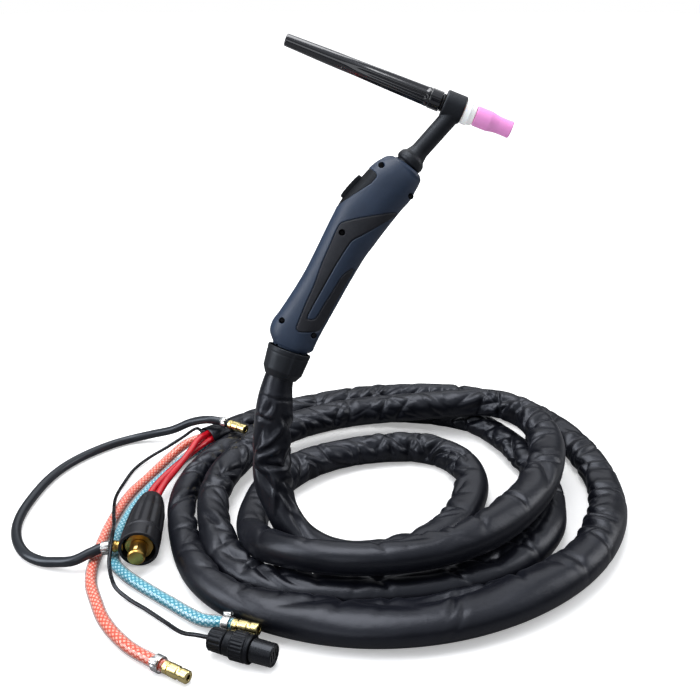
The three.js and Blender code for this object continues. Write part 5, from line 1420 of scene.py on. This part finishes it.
def collar_shape(h, r, angle):
    """Four thin ribs along the collar and one groove round it."""
    outer = (r > 13.9) & (h < -1.2) & (h > -25.5)
    thin_ribs = sum(np.exp(-(wrapped(angle - at) / 0.075) ** 2) for at in (0.35, 1.9, 3.5, 5.05))
    groove = 0.35 * np.exp(-((h + 5.2) / 0.5) ** 2)
    return r + np.where(outer, 0.55 * thin_ribs * ease((h + 25) / 2) - groove, 0)


collar = lathe([
    (-0.6, 17.9, 0.2), (-0.6, 19.0, 0.3), (-1.0, 19.4, 0.4), (-20, 17.6, 2.5), (-26, 14.1, 1.2),
    (-26, 13.3, 0.3), (-11.4, 13.3, 0.3), (-11.4, 17.9, 0.3)],
    BALL, COLLAR_DIR, seg=200, step=0.7, closed=True, shape=collar_shape)
dress(build("cable_collar_moulding", collar), "body", "cable_set", "cable_collar")

# inner pieces keep their CAD shape and get their finish
INNER = {"power_return_tube": "copper", "water_inlet_tube": "copper", "gas_tube": "copper",
         "collet": "copper", "microswitch": "plastic", "microswitch_plunger": "red_tube",
         "trigger_spring": "steel"}
for node, material in INNER.items():
    paint(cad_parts[node], material)


# ---------------------------------------------------------------- floor, light, camera
def floor_material():
    """White to the camera and brighter far off, darker to the light that reaches the parts."""
    m = Mat("floor_white", Roughness=0.55, Specular_IOR_Level=0.25)
    m.set(Base_Color=m.ramp(m.noise(900, detail=2),
                            (0.3, (0.90, 0.90, 0.905)), (0.7, (0.915, 0.915, 0.92))))
    ray = m.node("LightPath")
    place = m.node("SeparateXYZ", {0: m.node("NewGeometry")["Position"]})
    glow = m.node("MapRange", {"From Min": 0.35, "From Max": 1.4, "To Min": FLOOR_GLOW,
                               "To Max": 1.0, "Value": place[1]})[0]
    emission = m.node("Emission", {"Color": (1.0, 1.0, 1.0), "Strength": glow})[0]
    seen = m.node("AddShader", {0: m.surface.outputs[0], 1: emission})[0]
    # bounced light is held down, so the undersides stay dark
    bounce = m.node("BsdfDiffuse", {"Color": (0.34, 0.34, 0.35)})[0]
    # the floor shows only faintly in the gloss of the parts
    reflected = m.node("BsdfDiffuse", {"Color": (0.20, 0.20, 0.205)})[0]
    m.output(m.mix_shader(ray["Is Glossy Ray"],
                          m.mix_shader(ray["Is Camera Ray"], bounce, seen), reflected))
    return m


floor_corners = [(-9000, -3000), (9000, -3000), (9000, 26000), (-9000, 26000)]
floor = make_object("floor", [(x, y, -SHIFT[2]) for x, y in floor_corners],
                    [np.array([[0, 1, 2, 3]])], smooth=False)
floor.data.materials.append(floor_material().material)


def build_world():
    """A soft sky, dim near the horizon and bright overhead; plain white to the camera."""
    world = bpy.data.worlds.new("studio")
    bpy.context.scene.world = world
    world.use_nodes = True
    g = Graph(world.node_tree)
    sky = g.tree.nodes["Background"]
    height = g.node("SeparateXYZ", {0: g.node("TexCoord")["Generated"]})[2]
    strength = g.node("MapRange", {
        "From Min": 0.10, "From Max": 0.85, "To Min": WORLD * 0.20, "To Max": WORLD * 3.2,
        "Value": height}, interpolation_type="SMOOTHSTEP")[0]
    g.feed(sky.inputs["Color"], (0.93, 0.96, 1.0))
    g.feed(sky.inputs["Strength"], strength)
    white = g.node("Background", {"Color": (1, 1, 1), "Strength": 1.0})[0]
    mixed = g.mix_shader(g.node("LightPath")["Is Camera Ray"], sky.outputs[0], white)
    g.feed(g.tree.nodes["World Output"].inputs["Surface"], mixed)


def place(name, data, at):
    """at in metres, about the centre of the coil."""
    ob = bpy.data.objects.new(name, data)
    bpy.context.scene.collection.objects.link(ob)
    ob.location = Vector(at) + Vector(SHIFT * MM)
    return ob


build_world()
for name, at, aim, size, watts, colour in LIGHTS:
    light = bpy.data.lights.new(name, "AREA")
    light.shape = "RECTANGLE"
    light.size, light.size_y = size
    light.energy = watts
    light.color = colour
    ob = place(name, light, at)
    ob.rotation_euler = (Vector(aim) - Vector(at)).to_track_quat("-Z", "Y").to_euler()

camera = bpy.data.cameras.new("photo_view")
camera.lens, camera.sensor_width = LENS, SENSOR
camera.clip_start, camera.clip_end = 0.02, 80
ob = place("photo_view", camera, CAMERA_AT)
ob.rotation_euler = (CAMERA_TILT, 0, 0)
bpy.context.scene.camera = ob
view = bpy.context.scene.view_settings
view.view_transform = "Standard"
view.look = "None"
view.exposure = EXPOSURE
